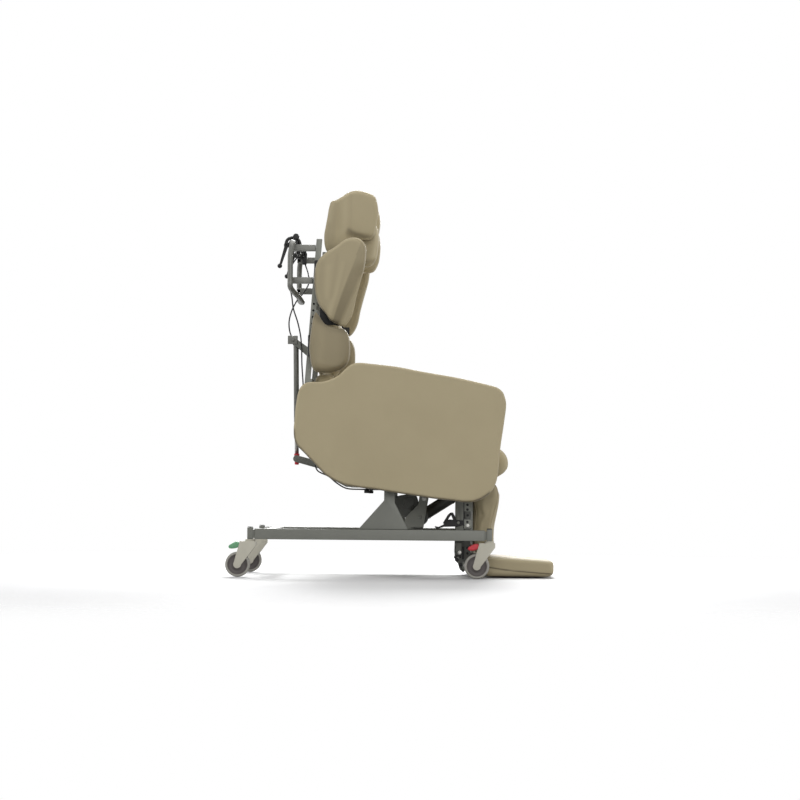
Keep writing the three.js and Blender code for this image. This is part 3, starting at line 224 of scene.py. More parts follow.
class SurfaceGraph(Graph):
    """A material's node tree round one Principled shader."""

    def __init__(self, name: str) -> None:
        """Starts a material.

        Args:
            name: The material's name.
        """
        self.material = bpy.data.materials.new(name)
        super().__init__(self.material)
        self.shader = self.node("ShaderNodeBsdfPrincipled", {}, {})
        self.node("ShaderNodeOutputMaterial", {"target": "ALL"}, {0: self.shader.outputs[0]})
        self.place = self.node("ShaderNodeTexCoord", {}, {}).outputs["Object"]

    def noise(self, size: float, detail: float = 2.0, stretch: Point = (1, 1, 1), warp: float = 0.0) -> Value:
        """Soft noise on Object coordinates.

        Args:
            size: Width of its patches in millimetres.
            detail: Number of finer layers.
            stretch: Scale along each axis.
            warp: How far it is distorted.

        Returns:
            A value of about 0.2 to 0.8.
        """
        place = self.node("ShaderNodeMapping", {}, {"Vector": self.place, "Scale": tuple(stretch)}).outputs[0]
        inputs = {"Vector": place, "Scale": 1.0 / (size * MM), "Detail": detail, "Roughness": 0.55,
                  "Distortion": warp}
        return self.number("ShaderNodeTexNoise", {}, inputs, "Fac")

    def cells(self, size: float) -> Value:
        """Distance to the middle of Voronoi cells of a size in millimetres."""
        inputs = {"Vector": self.place, "Scale": 1.0 / (size * MM), "Randomness": 1.0}
        return self.number("ShaderNodeTexVoronoi", {"feature": "F1"}, inputs, "Distance")

    def mark(self, name: str) -> Value:
        """A number that the mesh carries for each vertex."""
        return self.number("ShaderNodeAttribute", {"attribute_name": name}, {}, "Fac")

    def blend(self, factor: Value, low: Colour | Socket, high: Colour) -> Socket:
        """Mixes two colours.

        Args:
            factor: 0 gives the first and 1 the second.
            low: The first, as linear light or a colour socket.
            high: The second, as linear light.

        Returns:
            The mixed colour.
        """
        first = low if isinstance(low, Socket) else (*low, 1.0)
        inputs = {0: factor, 6: first, 7: (*high, 1.0)}
        return self.node("ShaderNodeMix", {"data_type": "RGBA"}, inputs).outputs[2]

    def bump(self, height: Value, depth: float, strength: float, under: Socket | None = None) -> Socket:
        """Adds a Bump node.

        Args:
            height: The relief, of about 0 to 1.
            depth: Its depth in millimetres.
            strength: Share of the effect.
            under: Normal of an earlier bump.

        Returns:
            The new normal.
        """
        inputs: dict[Any, Any] = {"Height": height, "Distance": depth * MM, "Strength": strength}
        if under is not None:
            inputs["Normal"] = under
        return self.node("ShaderNodeBump", {}, inputs).outputs[0]

    def edge_wear(self, low: float, high: float) -> Value:
        """Convex edges as 1, by a smooth step on the mesh's pointiness."""
        return self.number("ShaderNodeNewGeometry", {}, {}, "Pointiness").between(low, high)

    def finish(self, **sockets: Any) -> bpy.types.Material:
        """Feeds the shader.

        Args:
            **sockets: Values, sockets or numbers by socket name, with underscores for spaces.

        Returns:
            The material.
        """
        for name, value in sockets.items():
            self.feed(self.shader.inputs[name.replace("_", " ")], value)
        return self.material


def linear(red: float, green: float, blue: float) -> Colour:
    """A screen colour as linear light.

    Args:
        red: Red from 0 to 255.
        green: Green from 0 to 255.
        blue: Blue from 0 to 255.

    Returns:
        The three shares of light.
    """
    share = np.array([red, green, blue]) / 255.0
    light = np.where(share <= 0.04045, share / 12.92, ((share + 0.055) / 1.055) ** 2.4)
    return tuple(float(v) for v in light)


def scaled(colour: Colour, factor: float, lift: float = 0.0) -> Colour:
    """A linear colour times a factor, plus a lift, held to at most 1."""
    return tuple(min(1.0, factor * share + lift) for share in colour)


@dataclass(frozen=True)
class CoatedFabric:
    """Wipe-clean upholstery: fine leather-like grain, soft hand wrinkles and slight mottling, with painted
    shade and painted highlights from a mark that each mesh carries.
    """

    name: str = "upholstery_beige"
    shade: Colour = linear(158, 146, 116)
    light: Colour = linear(165, 153, 123)
    pore_tone: Colour = linear(118, 106, 80)
    # Colours of the painted shade and the painted highlight that the mesh's mark lays on.
    fold_tone: Colour = linear(50, 41, 25)
    rise_tone: Colour = linear(214, 206, 182)
    mottle: float = 150.0
    fleck: float = 2.2
    wrinkle: float = 90.0
    ripple: float = 22.0
    grain: float = 1.5
    grain_depth: float = 0.13
    sheen: float = 0.12
    sheen_rough: float = 0.45
    specular: float = 0.35

    def material(self) -> bpy.types.Material:
        """Builds the material."""
        graph = SurfaceGraph(self.name)
        mottle = graph.noise(self.mottle)
        fleck = graph.noise(self.fleck)
        pores = graph.cells(self.grain)
        colour = graph.blend(mottle.between(0.2, 0.8) * 0.7 + fleck * 0.3, self.shade, self.light)
        colour = graph.blend((1.0 - pores.between(0.05, 0.5)) * 0.12, colour, self.pore_tone)
        # Painted shade and painted highlight: where the mesh's mark is above 0 the cover is darkened towards
        # the painted shade colour, and where it is below 0 it is lightened towards the painted highlight
        # colour.
        fold = graph.mark("fold")
        colour = graph.blend(fold.held(), colour, self.fold_tone)
        colour = graph.blend((0.0 - fold).held(), colour, self.rise_tone)
        normal = graph.bump(graph.noise(self.wrinkle, 2.0, (1.0, 1.0, 0.5), 0.6), 1.2, 0.3)
        normal = graph.bump(graph.noise(self.ripple, 2.0, (1.0, 1.0, 0.6), 0.4), 0.25, 0.3, normal)
        normal = graph.bump(pores, self.grain_depth, 0.5, normal)
        rough = 0.5 + mottle * 0.12 + pores * 0.1
        return graph.finish(Base_Color=colour, Roughness=rough, Normal=normal, Sheen_Weight=self.sheen,
                            Sheen_Roughness=self.sheen_rough, Specular_IOR_Level=self.specular)


@dataclass(frozen=True)
class PowderCoat:
    """Painted steel: fine orange peel, a little dust in the hollows and paler rubbed edges."""

    name: str
    paint: Colour
    rough: float = 0.42
    metal: float = 0.15
    dust: float = 60.0
    peel: float = 1.6
    scuff: float = 9.0

    def material(self) -> bpy.types.Material:
        """Builds the material."""
        graph = SurfaceGraph(self.name)
        dust = graph.noise(self.dust, 4.0)
        peel = graph.noise(self.peel)
        scuff = graph.noise(self.scuff, 5.0, (1.0, 1.0, 2.5), 0.8).between(0.58, 0.72)
        worn = graph.edge_wear(0.52, 0.6) * (0.25 + scuff * 0.5)
        coat = graph.blend(dust, scaled(self.paint, 0.86), scaled(self.paint, 1.14))
        colour = graph.blend(worn, coat, scaled(self.paint, 1.9, 0.03))
        rough = self.rough + dust * 0.16 + scuff * 0.06
        normal = graph.bump(peel, 0.05, 0.5)
        return graph.finish(Base_Color=colour, Roughness=rough, Normal=normal, Metallic=self.metal)


@dataclass(frozen=True)
class TurnedSteel:
    """Bright drawn steel of shafts, rods and bolts, with fine lines round it."""

    name: str = "drawn_steel"
    tone: Colour = linear(176, 175, 170)
    line: float = 1.2
    smear: float = 24.0

    def material(self) -> bpy.types.Material:
        """Builds the material."""
        graph = SurfaceGraph(self.name)
        lines = graph.noise(self.line, 3.0, (0.2, 1.0, 0.2))
        smear = graph.noise(self.smear, 3.0)
        colour = graph.blend(smear, scaled(self.tone, 0.8), self.tone)
        normal = graph.bump(lines, 0.03, 0.4)
        return graph.finish(Base_Color=colour, Roughness=0.26 + smear * 0.16, Metallic=1.0, Normal=normal)


@dataclass(frozen=True)
class MouldedPlastic:
    """Moulded plastic: spark-eroded grain, faint flow marks and rubbed corners."""

    name: str
    tone: Colour
    rough: float = 0.45
    grain: float = 0.7
    spread: float = 0.1
    flow: float = 28.0
    specular: float = 0.32

    def material(self) -> bpy.types.Material:
        """Builds the material."""
        graph = SurfaceGraph(self.name)
        flow = graph.noise(self.flow, 3.0, (1.0, 1.0, 0.5))
        grain = graph.noise(self.grain)
        rubbed = graph.edge_wear(0.53, 0.62) * 0.3
        body = graph.blend(flow, scaled(self.tone, 1.0 - self.spread), scaled(self.tone, 1.0 + self.spread))
        colour = graph.blend(rubbed, body, scaled(self.tone, 1.35, 0.01))
        normal = graph.bump(grain, 0.04, 0.6)
        return graph.finish(Base_Color=colour, Roughness=self.rough + flow * 0.12, Normal=normal,
                            Specular_IOR_Level=self.specular)


@dataclass(frozen=True)
class Tread:
    """Castor tyre rubber: matt, with fine scuffs and a trace of floor dust."""

    name: str = "castor_tyre_grey"
    tone: Colour = linear(158, 155, 147)
    dust: float = 7.0
    scuff: float = 0.9

    def material(self) -> bpy.types.Material:
        """Builds the material."""
        graph = SurfaceGraph(self.name)
        dust = graph.noise(self.dust, 4.0, (1.0, 0.4, 1.0))
        colour = graph.blend(dust, scaled(self.tone, 0.78), self.tone)
        normal = graph.bump(graph.noise(self.scuff), 0.06, 0.5)
        return graph.finish(Base_Color=colour, Roughness=0.62 + dust * 0.2, Normal=normal)


class Finishes:
    """Every finish of the chair, built once."""

    def __init__(self) -> None:
        """Builds the materials."""
        self.cloth = CoatedFabric().material()
        self.frame = PowderCoat("frame_paint_grey", linear(103, 104, 97)).material()
        self.handle = PowderCoat("handle_paint_grey", linear(98, 98, 93), 0.38, 0.25).material()
        self.spring = PowderCoat("spring_paint_dark", linear(80, 81, 76), 0.4, 0.2).material()
        # The spring bracket's plates get the frame paint lightened: painted light that makes up for the shade
        # under the seat.
        self.plate = PowderCoat("plate_paint_grey", linear(122, 123, 115), 0.42, 0.15).material()
        self.bracket = PowderCoat("foot_bracket_dark", linear(70, 71, 66), 0.45, 0.2).material()
        self.steel = TurnedSteel().material()
        self.black = MouldedPlastic("plastic_black", linear(20, 20, 20), 0.5, 0.8, 0.2).material()
        self.cable = MouldedPlastic("cable_sheath_black", linear(24, 24, 25), 0.35, 0.6, 0.2).material()
        self.castor = MouldedPlastic("castor_plastic_beige", linear(180, 176, 162), 0.48).material()
        self.hub = MouldedPlastic("castor_hub_dark", linear(88, 83, 81), 0.5).material()
        self.tyre = Tread().material()
        self.red = MouldedPlastic("pedal_red", linear(186, 52, 60), 0.35).material()
        self.green = MouldedPlastic("pedal_green", linear(98, 150, 112), 0.35).material()


# Shapes worked out as arrays


def _spline(points: Array, share: Array) -> Array:
    """Centripetal Catmull-Rom pieces between inner points of a padded list.

    Each piece runs from its second to its third point. Its end slopes come from the neighbours, with knots
    spaced by the square root of the distances, and between them it is a cubic in the share of the way.

    Args:
        points: Points as (n + 3, d), with more than the curve needs at both ends.
        share: Places along each piece, from 0 to 1.

    Returns:
        Points as (n, len(share), d).
    """
    before, start, end, after = points[:-3], points[1:-2], points[2:-1], points[3:]
    last, this, next_one = (
        np.sqrt(np.maximum(np.linalg.norm(b - a, axis=1, keepdims=True), 1e-9))
        for a, b in ((before, start), (start, end), (end, after)))
    slope_in = ((start - before) / last - (end - before) / (last + this) + (end - start) / this) * this
    slope_out = ((end - start) / this - (after - start) / (this + next_one) + (after - end) / next_one) * this
    t = share[None, :, None]
    start, end, slope_in, slope_out = (v[:, None, :] for v in (start, end, slope_in, slope_out))
    return (start + slope_in * t + (-3 * start + 3 * end - 2 * slope_in - slope_out) * t ** 2
            + (2 * start - 2 * end + slope_in + slope_out) * t ** 3)


def _evenly(dense: Array, count: int, closed: bool) -> Array:
    """Points spaced evenly by length along a dense line.

    Args:
        dense: Points of the line.
        count: Number of points wanted.
        closed: Whether the line returns to its start.

    Returns:
        Points as (count, d).
    """
    if closed:
        dense = np.vstack([dense, dense[:1]])
    run = np.concatenate([[0.0], np.cumsum(np.linalg.norm(np.diff(dense, axis=0), axis=1))])
    places = np.linspace(0.0, run[-1], count + 1 if closed else count)
    line = np.column_stack([np.interp(places, run, dense[:, k]) for k in range(dense.shape[1])])
    return line[:-1] if closed else line


def _dense(padded: Array) -> Array:
    """24 points on each piece of the smooth curve through a padded list."""
    return _spline(padded, np.linspace(0.0, 1.0, 24, endpoint=False)).reshape(-1, padded.shape[1])


def smooth_loop(points: Sequence[Point], count: int) -> Array:
    """A number of points, spaced evenly, on the closed smooth curve through a loop's points."""
    base = np.asarray(points, dtype=float)
    return _evenly(_dense(np.vstack([base[-1:], base, base[:2]])), count, True)


def smooth_line(points: Sequence[Point], count: int) -> Array:
    """Open smooth curve through points, spaced evenly.

    Args:
        points: Points of the line.
        count: Number of points wanted.

    Returns:
        Points as (count, d).
    """
    base = np.asarray(points, dtype=float)
    padded = np.vstack([2 * base[:1] - base[1:2], base, 2 * base[-1:] - base[-2:-1]])
    return _evenly(np.vstack([_dense(padded), base[-1:]]), count, False)


def _bends(last: Array, corner: Array, after: Array, radius: float, share: float, steps: int) -> Array:
    """Corners as quadratic bends.

    Each corner is cut back by the radius, or by a share of its shorter side, and the bend runs between the
    cuts with the corner as its control point.

    Args:
        last: The point before each corner, as (n, 2).
        corner: The corners.
        after: The point after each corner.
        radius: Cut-back in millimetres.
        share: Largest cut-back as a share of a side.
        steps: Points on each bend.

    Returns:
        Points as (n * steps, 2).
    """
    to_last, to_next = last - corner, after - corner
    last_run = np.linalg.norm(to_last, axis=1, keepdims=True)
    next_run = np.linalg.norm(to_next, axis=1, keepdims=True)
    cut = np.minimum(radius, share * np.minimum(last_run, next_run))
    start = (corner + to_last / last_run * cut)[:, None, :]
    end = (corner + to_next / next_run * cut)[:, None, :]
    t = np.linspace(0.0, 1.0, steps)[None, :, None]
    return ((1 - t) ** 2 * start + 2 * t * (1 - t) * corner[:, None, :] + t ** 2 * end).reshape(-1, 2)


def rounded_polygon(points: Sequence[Point], radius: float, steps: int) -> Array:
    """Polygon with rounded corners.

    Args:
        points: Corners as (n, 2), in either turn.
        radius: Cut-back of the corners in millimetres.
        steps: Points on each corner.

    Returns:
        Points as (n * steps, 2), anticlockwise.
    """
    corner = np.asarray(points, dtype=float)
    last, after = np.roll(corner, 1, axis=0), np.roll(corner, -1, axis=0)
    return anticlockwise(_bends(last, corner, after, radius, 0.48, steps))


def anticlockwise(ring: Array) -> Array:
    """The ring in the turn that has a positive area.

    Args:
        ring: Points as (n, 2).

    Returns:
        The same points, turned round where they ran clockwise.
    """
    x, z = ring[:, 0], ring[:, 1]
    area = np.sum(x * np.roll(z, -1) - np.roll(x, -1) * z)
    return ring if area > 0 else ring[::-1]


def share_loop(shares: Sequence[Point], box: Sequence[float], count: int) -> Array:
    """Smooth loop through shares of a box.

    Args:
        shares: (u, v) pairs of the box's length and height.
        box: Rear, front, low and top edges in millimetres.
        count: Number of points.

    Returns:
        Points as (count, 2), anticlockwise, held inside the box.
    """
    rear, front, low, top = box
    pairs = np.asarray(shares, dtype=float)
    points = np.column_stack([rear + pairs[:, 0] * (front - rear), low + pairs[:, 1] * (top - low)])
    ring = anticlockwise(smooth_loop(points, count))
    return np.clip(ring, [rear, low], [front, top])


@dataclass(frozen=True)
class Seam:
    """A welt between two grooves: its distance from the side's middle, height, grooves' depth, and width."""

    at: float
    welt: float
    groove: float
    width: float


@dataclass(frozen=True)
class Edge:
    """How a slab turns from its side to its faces.

    The section starts at the middle of the side, bellies out, turns through a quarter of a superellipse,
    runs in over the face by true insets and then shrinks to the hub while the face crowns.
    """

    half: float
    edge: float
    crown: float = 0.0
    belly: float = 0.0
    reach: float = 8.0
    step: float = 1.5
    seams: tuple[Seam, ...] = ()
    power: float = 0.9

    def section(self) -> tuple[Array, Array, Array]:
        """Half of the section, from the side's middle to the hub.

        Returns:
            Insets, distances across, and scales towards the hub, each as (m,).
        """
        side = max(self.half - self.edge, 0.0)
        flat = np.linspace(0.0, side, max(2, int(side / self.step) + 1)) if side > 0.1 else np.zeros(1)
        bulge = -self.belly * (1.0 - (flat / max(side, 1e-6)) ** 2) if side > 0.1 else np.zeros(1)
        turn = np.linspace(0.0, math.pi / 2, max(6, int(self.edge * 1.57 / self.step)))[1:]
        turn_in = self.edge * (1.0 - np.cos(turn) ** self.power)
        turn_out = side + self.edge * np.sin(turn) ** self.power
        face = np.linspace(0.0, self.reach, max(2, int(self.reach / self.step)))[1:]
        inset = np.concatenate([bulge, turn_in, self.edge + face])
        across = np.concatenate([flat, turn_out, np.full(len(face), self.half)])
        run = np.concatenate([[0.0], np.cumsum(np.hypot(np.diff(inset), np.diff(across)))])
        out_in = -np.gradient(across, run + np.arange(len(run)) * 1e-9)
        out_across = np.gradient(inset, run + np.arange(len(run)) * 1e-9)
        lift = np.zeros(len(run))
        for seam in self.seams:
            off = (run - seam.at) / seam.width
            lift += seam.welt * np.exp(-off ** 2 * 2.0)
            lift -= seam.groove * np.exp(-(np.abs(off) - 1.5) ** 2 * 3.0)
        inset, across = inset + lift * out_in, across + lift * out_across
        scale = np.ones(len(inset))
        shrink = 1.0 - np.linspace(0.0, 1.0, 16)[1:] ** 0.9
        shrink[-1] = 0.0
        inset = np.concatenate([inset, np.full(len(shrink), self.edge + self.reach)])
        across = np.concatenate([across, np.full(len(shrink), self.half)])
        scale = np.concatenate([scale, shrink])
        return inset, across + self.crown * (1.0 - scale ** 2), scale


def crease(start: Point, end: Point, slope: float, fade: float = 1.0) -> Relief:
    """Relief of a face that falls away on one side of a crease.

    Args:
        start: (x, z) of the crease's upper end, where the fall fades out.
        end: (x, z) of its lower end. The face falls on the left of the way from start to end.
        slope: Depth for each millimetre from the crease.
        fade: Length over which the fall sets in, in millimetres.

    Returns:
        The relief.
    """
    way = np.subtract(end, start) / math.dist(end, start)

    def depth(x: Array, z: Array) -> Array:
        """Depth at a place.

        Args:
            x: Places along the chair.
            z: Heights.

        Returns:
            The depths.
        """
        out = (z - start[1]) * way[0] - (x - start[0]) * way[1]
        run = (x - start[0]) * way[0] + (z - start[1]) * way[1]
        share = np.clip(run / fade, 0.0, 1.0)
        return slope * 0.5 * (out + np.sqrt(out ** 2 + CREASE_SOFT ** 2)) * share ** 2 * (3.0 - 2.0 * share)

    return depth


def slab_grid(ring: Array, edge: Edge, middle: float, hub: Point | None = None,
              relief: Relief | None = None) -> Array:
    """Grid of a slab that stands in the side view: its outline carried across the chair by an edge section.

    Each station is the outline moved in towards the middle of its box by the section's inset, then drawn
    towards the hub by the section's scale, and set at the section's distance across on both sides of the
    middle.

    Args:
        ring: Anticlockwise outline in (x, z).
        edge: The section.
        middle: y of the slab's middle.
        hub: (x, z) that the faces close on, or None for the outline's mean.
        relief: How deep the outer face is pressed in at (x, z), in millimetres.

    Returns:
        Points as (stations, n, 3), whose first and last stations are single points.
    """
    centre = ring.mean(axis=0) if hub is None else np.asarray(hub, dtype=float)
    inset, across, scale = edge.section()
    inset = np.concatenate([inset[::-1], inset[1:]])
    scale = np.concatenate([scale[::-1], scale[1:]])
    across = np.concatenate([-across[::-1], across[1:]])
    low, high = ring.min(axis=0), ring.max(axis=0)
    box_middle, half = (low + high) / 2, (high - low) / 2
    flat = box_middle + (ring - box_middle)[None] * (1.0 - inset[:, None, None] / half)
    flat = centre + scale[:, None, None] * (flat - centre)
    y = np.broadcast_to(across[:, None], flat.shape[:2])
    if relief is not None:
        outer = math.copysign(1.0, middle)
        share = np.clip(y * outer / edge.half, 0.0, 1.0)
        y = y - outer * share * np.minimum(relief(flat[..., 0], flat[..., 1]), edge.half * 0.8)
    return np.stack([flat[..., 0], y + middle, flat[..., 1]], axis=-1)


def tube_grid(path: Array, radius: Array | float, sides: int, reference: Point = (1, 0, 0),
              closed: bool = False) -> Array:
    """Grid of a round tube along a path: at each station a circle in the plane across the path.

    The circle's first direction is the reference with its share along the path taken out.

    Args:
        path: Centre line as (m, 3).
        radius: One radius, or one a station.
        sides: Points round the tube.
        reference: Direction that the path never runs along.
        closed: Whether the path returns to its start.

    Returns:
        Points as (m, sides, 3) for a closed path, and else as (m + 2, sides, 3), with a single point at both
        ends.
    """
    run = np.roll(path, -1, axis=0) - np.roll(path, 1, axis=0) if closed else np.gradient(path, axis=0)
    run /= np.linalg.norm(run, axis=1, keepdims=True)
    across = np.asarray(reference, dtype=float)
    first = across[None] - (run @ across)[:, None] * run
    first /= np.linalg.norm(first, axis=1, keepdims=True)
    second = np.cross(run, first)
    turn = np.linspace(0.0, 2 * math.pi, sides, endpoint=False)[None, :, None]
    size = np.broadcast_to(np.asarray(radius, dtype=float), (len(path),))[:, None, None]
    rings = path[:, None] + size * (np.cos(turn) * first[:, None] + np.sin(turn) * second[:, None])
    if closed:
        return rings
    ends = [np.repeat(path[k][None, None], sides, axis=1) for k in (0, -1)]
    return np.concatenate([ends[0], rings, ends[1]])


def turned_grid(profile: Sequence[Point], centre: Point, sides: int, rounding: int, axis: str = "y") -> Array:
    """Grid of a turned piece: a (radius, along) profile swept round an axis.

    Args:
        profile: (radius, along) pairs, from one pole or edge to the other.
        centre: Centre of the piece.
        sides: Points round it.
        rounding: Points on each corner's bend of up to 0.8 mm, or 0 for sharp corners.
        axis: The axis that it is turned about, y or z.

    Returns:
        Points as (m, sides, 3).
    """
    outline = np.asarray(profile, dtype=float)
    if rounding:
        bends = _bends(outline[:-2], outline[1:-1], outline[2:], 0.8, 0.45, rounding)
        outline = np.vstack([outline[:1], bends, outline[-1:]])
    turn = np.linspace(0.0, 2 * math.pi, sides, endpoint=False)
    radial = outline[:, 0][:, None]
    along = np.broadcast_to(outline[:, 1][:, None], (len(outline), sides))
    one, two = radial * np.cos(turn), radial * np.sin(turn)
    order = (one, along, two) if axis == "y" else (one, two, along)
    return np.stack(order, axis=-1) + np.asarray(centre, dtype=float)


def add_object(name: str, data: Any) -> Piece:
    """Puts a mesh, a camera or a light into the scene.

    Args:
        name: Name of its object.
        data: What the object holds.

    Returns:
        The object, at the origin.
    """
    made = bpy.data.objects.new(name, data)
    bpy.context.scene.collection.objects.link(made)
    return made


def vertices(mesh: bpy.types.Mesh) -> Array:
    """Reads a mesh's vertices.

    Args:
        mesh: The mesh.

    Returns:
        Their places as (n, 3).
    """
    flat = np.empty(len(mesh.vertices) * 3)
    mesh.vertices.foreach_get("co", flat)
    return flat.reshape(-1, 3)


def piece_from_grid(name: str, grid: Array, ring: bool = False) -> Piece:
    """A mesh object from a grid that wraps round its second axis.

    Neighbouring stations are joined by quads. Stations that are a single point become one vertex with
    triangles round it, and a ring's last station is joined to its first. Faces are turned outwards by the
    sign of the volume.

    Args:
        name: The piece's name.
        grid: Points as (m, n, 3) in drawing millimetres.
        ring: Whether the stations close on themselves, as on a tyre.

    Returns:
        The object, in metres in the row frame, at the origin.
    """
    m, n = grid.shape[:2]
    points = to_row(grid.reshape(-1, 3))
    station = np.arange(m if ring else m - 1)[:, None]
    across = np.arange(n)[None]
    after, turn = (station + 1) % m, (across + 1) % n
    corners = [station * n + across, after * n + across, after * n + turn, station * n + turn]
    faces = np.stack(corners, axis=-1).reshape(-1, 4)
    centre = points.mean(axis=0)
    a, b, c, d = (points[faces[:, k]] - centre for k in range(4))
    volume = np.einsum("ij,ij->", a, np.cross(b, c)) + np.einsum("ij,ij->", a, np.cross(c, d))
    if volume < 0:
        faces = faces[:, ::-1]
    mesh = bpy.data.meshes.new(name)
    mesh.from_pydata(points.tolist(), [], faces.tolist())
    work = bmesh.new()
    work.from_mesh(mesh)
    bmesh.ops.remove_doubles(work, verts=work.verts, dist=1e-7)
    bmesh.ops.dissolve_degenerate(work, edges=work.edges, dist=1e-8)
    work.to_mesh(mesh)
    work.free()
    mesh.shade_smooth()
    return add_object(name, mesh)


def join_pieces(name: str, parts: Sequence[Piece]) -> Piece:
    """One object from several, which are used up.

    Args:
        name: Name of the result.
        parts: Mesh objects at the origin without modifiers.

    Returns:
        The joined object.
    """
    work = bmesh.new()
    for part in parts:
        work.from_mesh(part.data)
    mesh = bpy.data.meshes.new(name)
    work.to_mesh(mesh)
    work.free()
    mesh.shade_smooth()
    for part in parts:
        bpy.data.objects.remove(part)
    return add_object(name, mesh)


def sharpen(piece: Piece, degrees: float) -> None:
    """Marks edges over an angle as sharp.

    Args:
        piece: The piece.
        degrees: The angle.
    """
    work = bmesh.new()
    work.from_mesh(piece.data)
    limit = math.radians(degrees)
    for line in work.edges:
        line.smooth = not (line.is_manifold and line.calc_face_angle(0.0) > limit)
    work.to_mesh(piece.data)
    work.free()


@dataclass(frozen=True)
class Fold:
    """Painted shade or highlight on the cover along a line in the side view: a dark line of painted shade in
    a crease or under an edge, or a face beside a crease painted darker or lighter.

    A reach of 0 gives a line on both sides of the path. Otherwise the tone lies on the left of the path's
    way, out to the reach.
    """

    path: Pairs
    width: float
    tone: float
    reach: float = 0.0
    rise: float = 0.0

    def at(self, x: Array, z: Array) -> Array:
        """Tone at places in the side view.

        Args:
            x: Places along the chair.
            z: Heights.

        Returns:
            The tones, above 0 where shade is painted darker and below 0 where a highlight is painted lighter.
        """
        points = np.stack([x, z], axis=-1)[:, None]
        start, end = np.array(self.path[:-1])[None], np.array(self.path[1:])[None]
        run = end - start
        length = (run ** 2).sum(axis=-1)
        raw = ((points - start) * run).sum(axis=-1) / length
        gap = points - start - np.clip(raw, 0.0, 1.0)[..., None] * run
        far = np.hypot(gap[..., 0], gap[..., 1])
        near = far.argmin(axis=1)
        rows = np.arange(len(x))
        far = far[rows, near]
        along = (near + np.clip(raw[rows, near], 0.0, 1.0)) / len(self.path[1:])
        tone = self.tone * (1.0 - self.rise * (1.0 - along))
        if self.reach <= 0.0:
            return tone * np.exp(-(far / self.width) ** 2)
        left = run[0, near, 0] * gap[rows, near, 1] - run[0, near, 1] * gap[rows, near, 0]
        side = np.clip(np.where(left > 0.0, far, -far) / self.width, 0.0, 1.0)
        return tone * side ** 2 * (3.0 - 2.0 * side) * np.clip(3.0 - 3.0 * far / self.reach, 0.0, 1.0)


def tone_piece(piece: Piece, folds: Sequence[Fold], even: float = 0.0, beyond: float = 0.0) -> None:
    """Writes a piece's painted shade and highlights to its vertices.

    Args:
        piece: The piece, at the origin.
        folds: Its painted shade and highlights.
        even: Painted shade laid evenly over the whole piece.
        beyond: Distance from the chair's middle where the painted shade and highlights set in, in
            millimetres.
    """
    points = from_row(vertices(piece.data))
    tone = sum((fold.at(points[:, 0], points[:, 2]) for fold in folds), np.zeros(len(points)))
    tone = tone * np.clip((np.abs(points[:, 1]) - beyond) / PAINTED_SHADING_SETS_IN, 0.0, 1.0) + even
    mark = piece.data.attributes.new("fold", "FLOAT", "POINT")
    mark.data.foreach_set("value", tone.astype(np.float32))


@dataclass(frozen=True)
class Pad:
    """A cushion for the cloth simulation.

    It has the cushion's side outline, its half width, how far a point may swell, y of its seams, the
    rounding of its edges and how much smaller it starts, so that the swelling fills its place.
    """

    name: str
    ring: Array
    half: float
    reach: float
    seams: tuple[float, ...]
    rounding: float = 26.0
    start: float = 6.0

    def box(self) -> tuple[Array, Array]:
        """Lowest and highest corner of the cushion's place, in millimetres."""
        low, high = self.ring.min(axis=0), self.ring.max(axis=0)
        return np.array([low[0], -self.half, low[1]]), np.array([high[0], self.half, high[1]])

    def blank(self) -> Piece:
        """The form before it swells."""
        low, high = self.ring.min(axis=0), self.ring.max(axis=0)
        middle, half = (low + high) / 2, (high - low) / 2
        ring = middle + (self.ring - middle) * (1.0 - self.start / half)
        edge = Edge(self.half - self.start, self.rounding, reach=10, step=4.0)
        return piece_from_grid(self.name, slab_grid(ring, edge, 0))

    def lines(self) -> list[Array]:
        """Seam lines before they are laid on the swollen form."""
        even = _evenly(self.ring, SEAM_POINTS, True)
        return [np.column_stack([even[:, 0], np.full(SEAM_POINTS, y), even[:, 1]]) for y in self.seams]


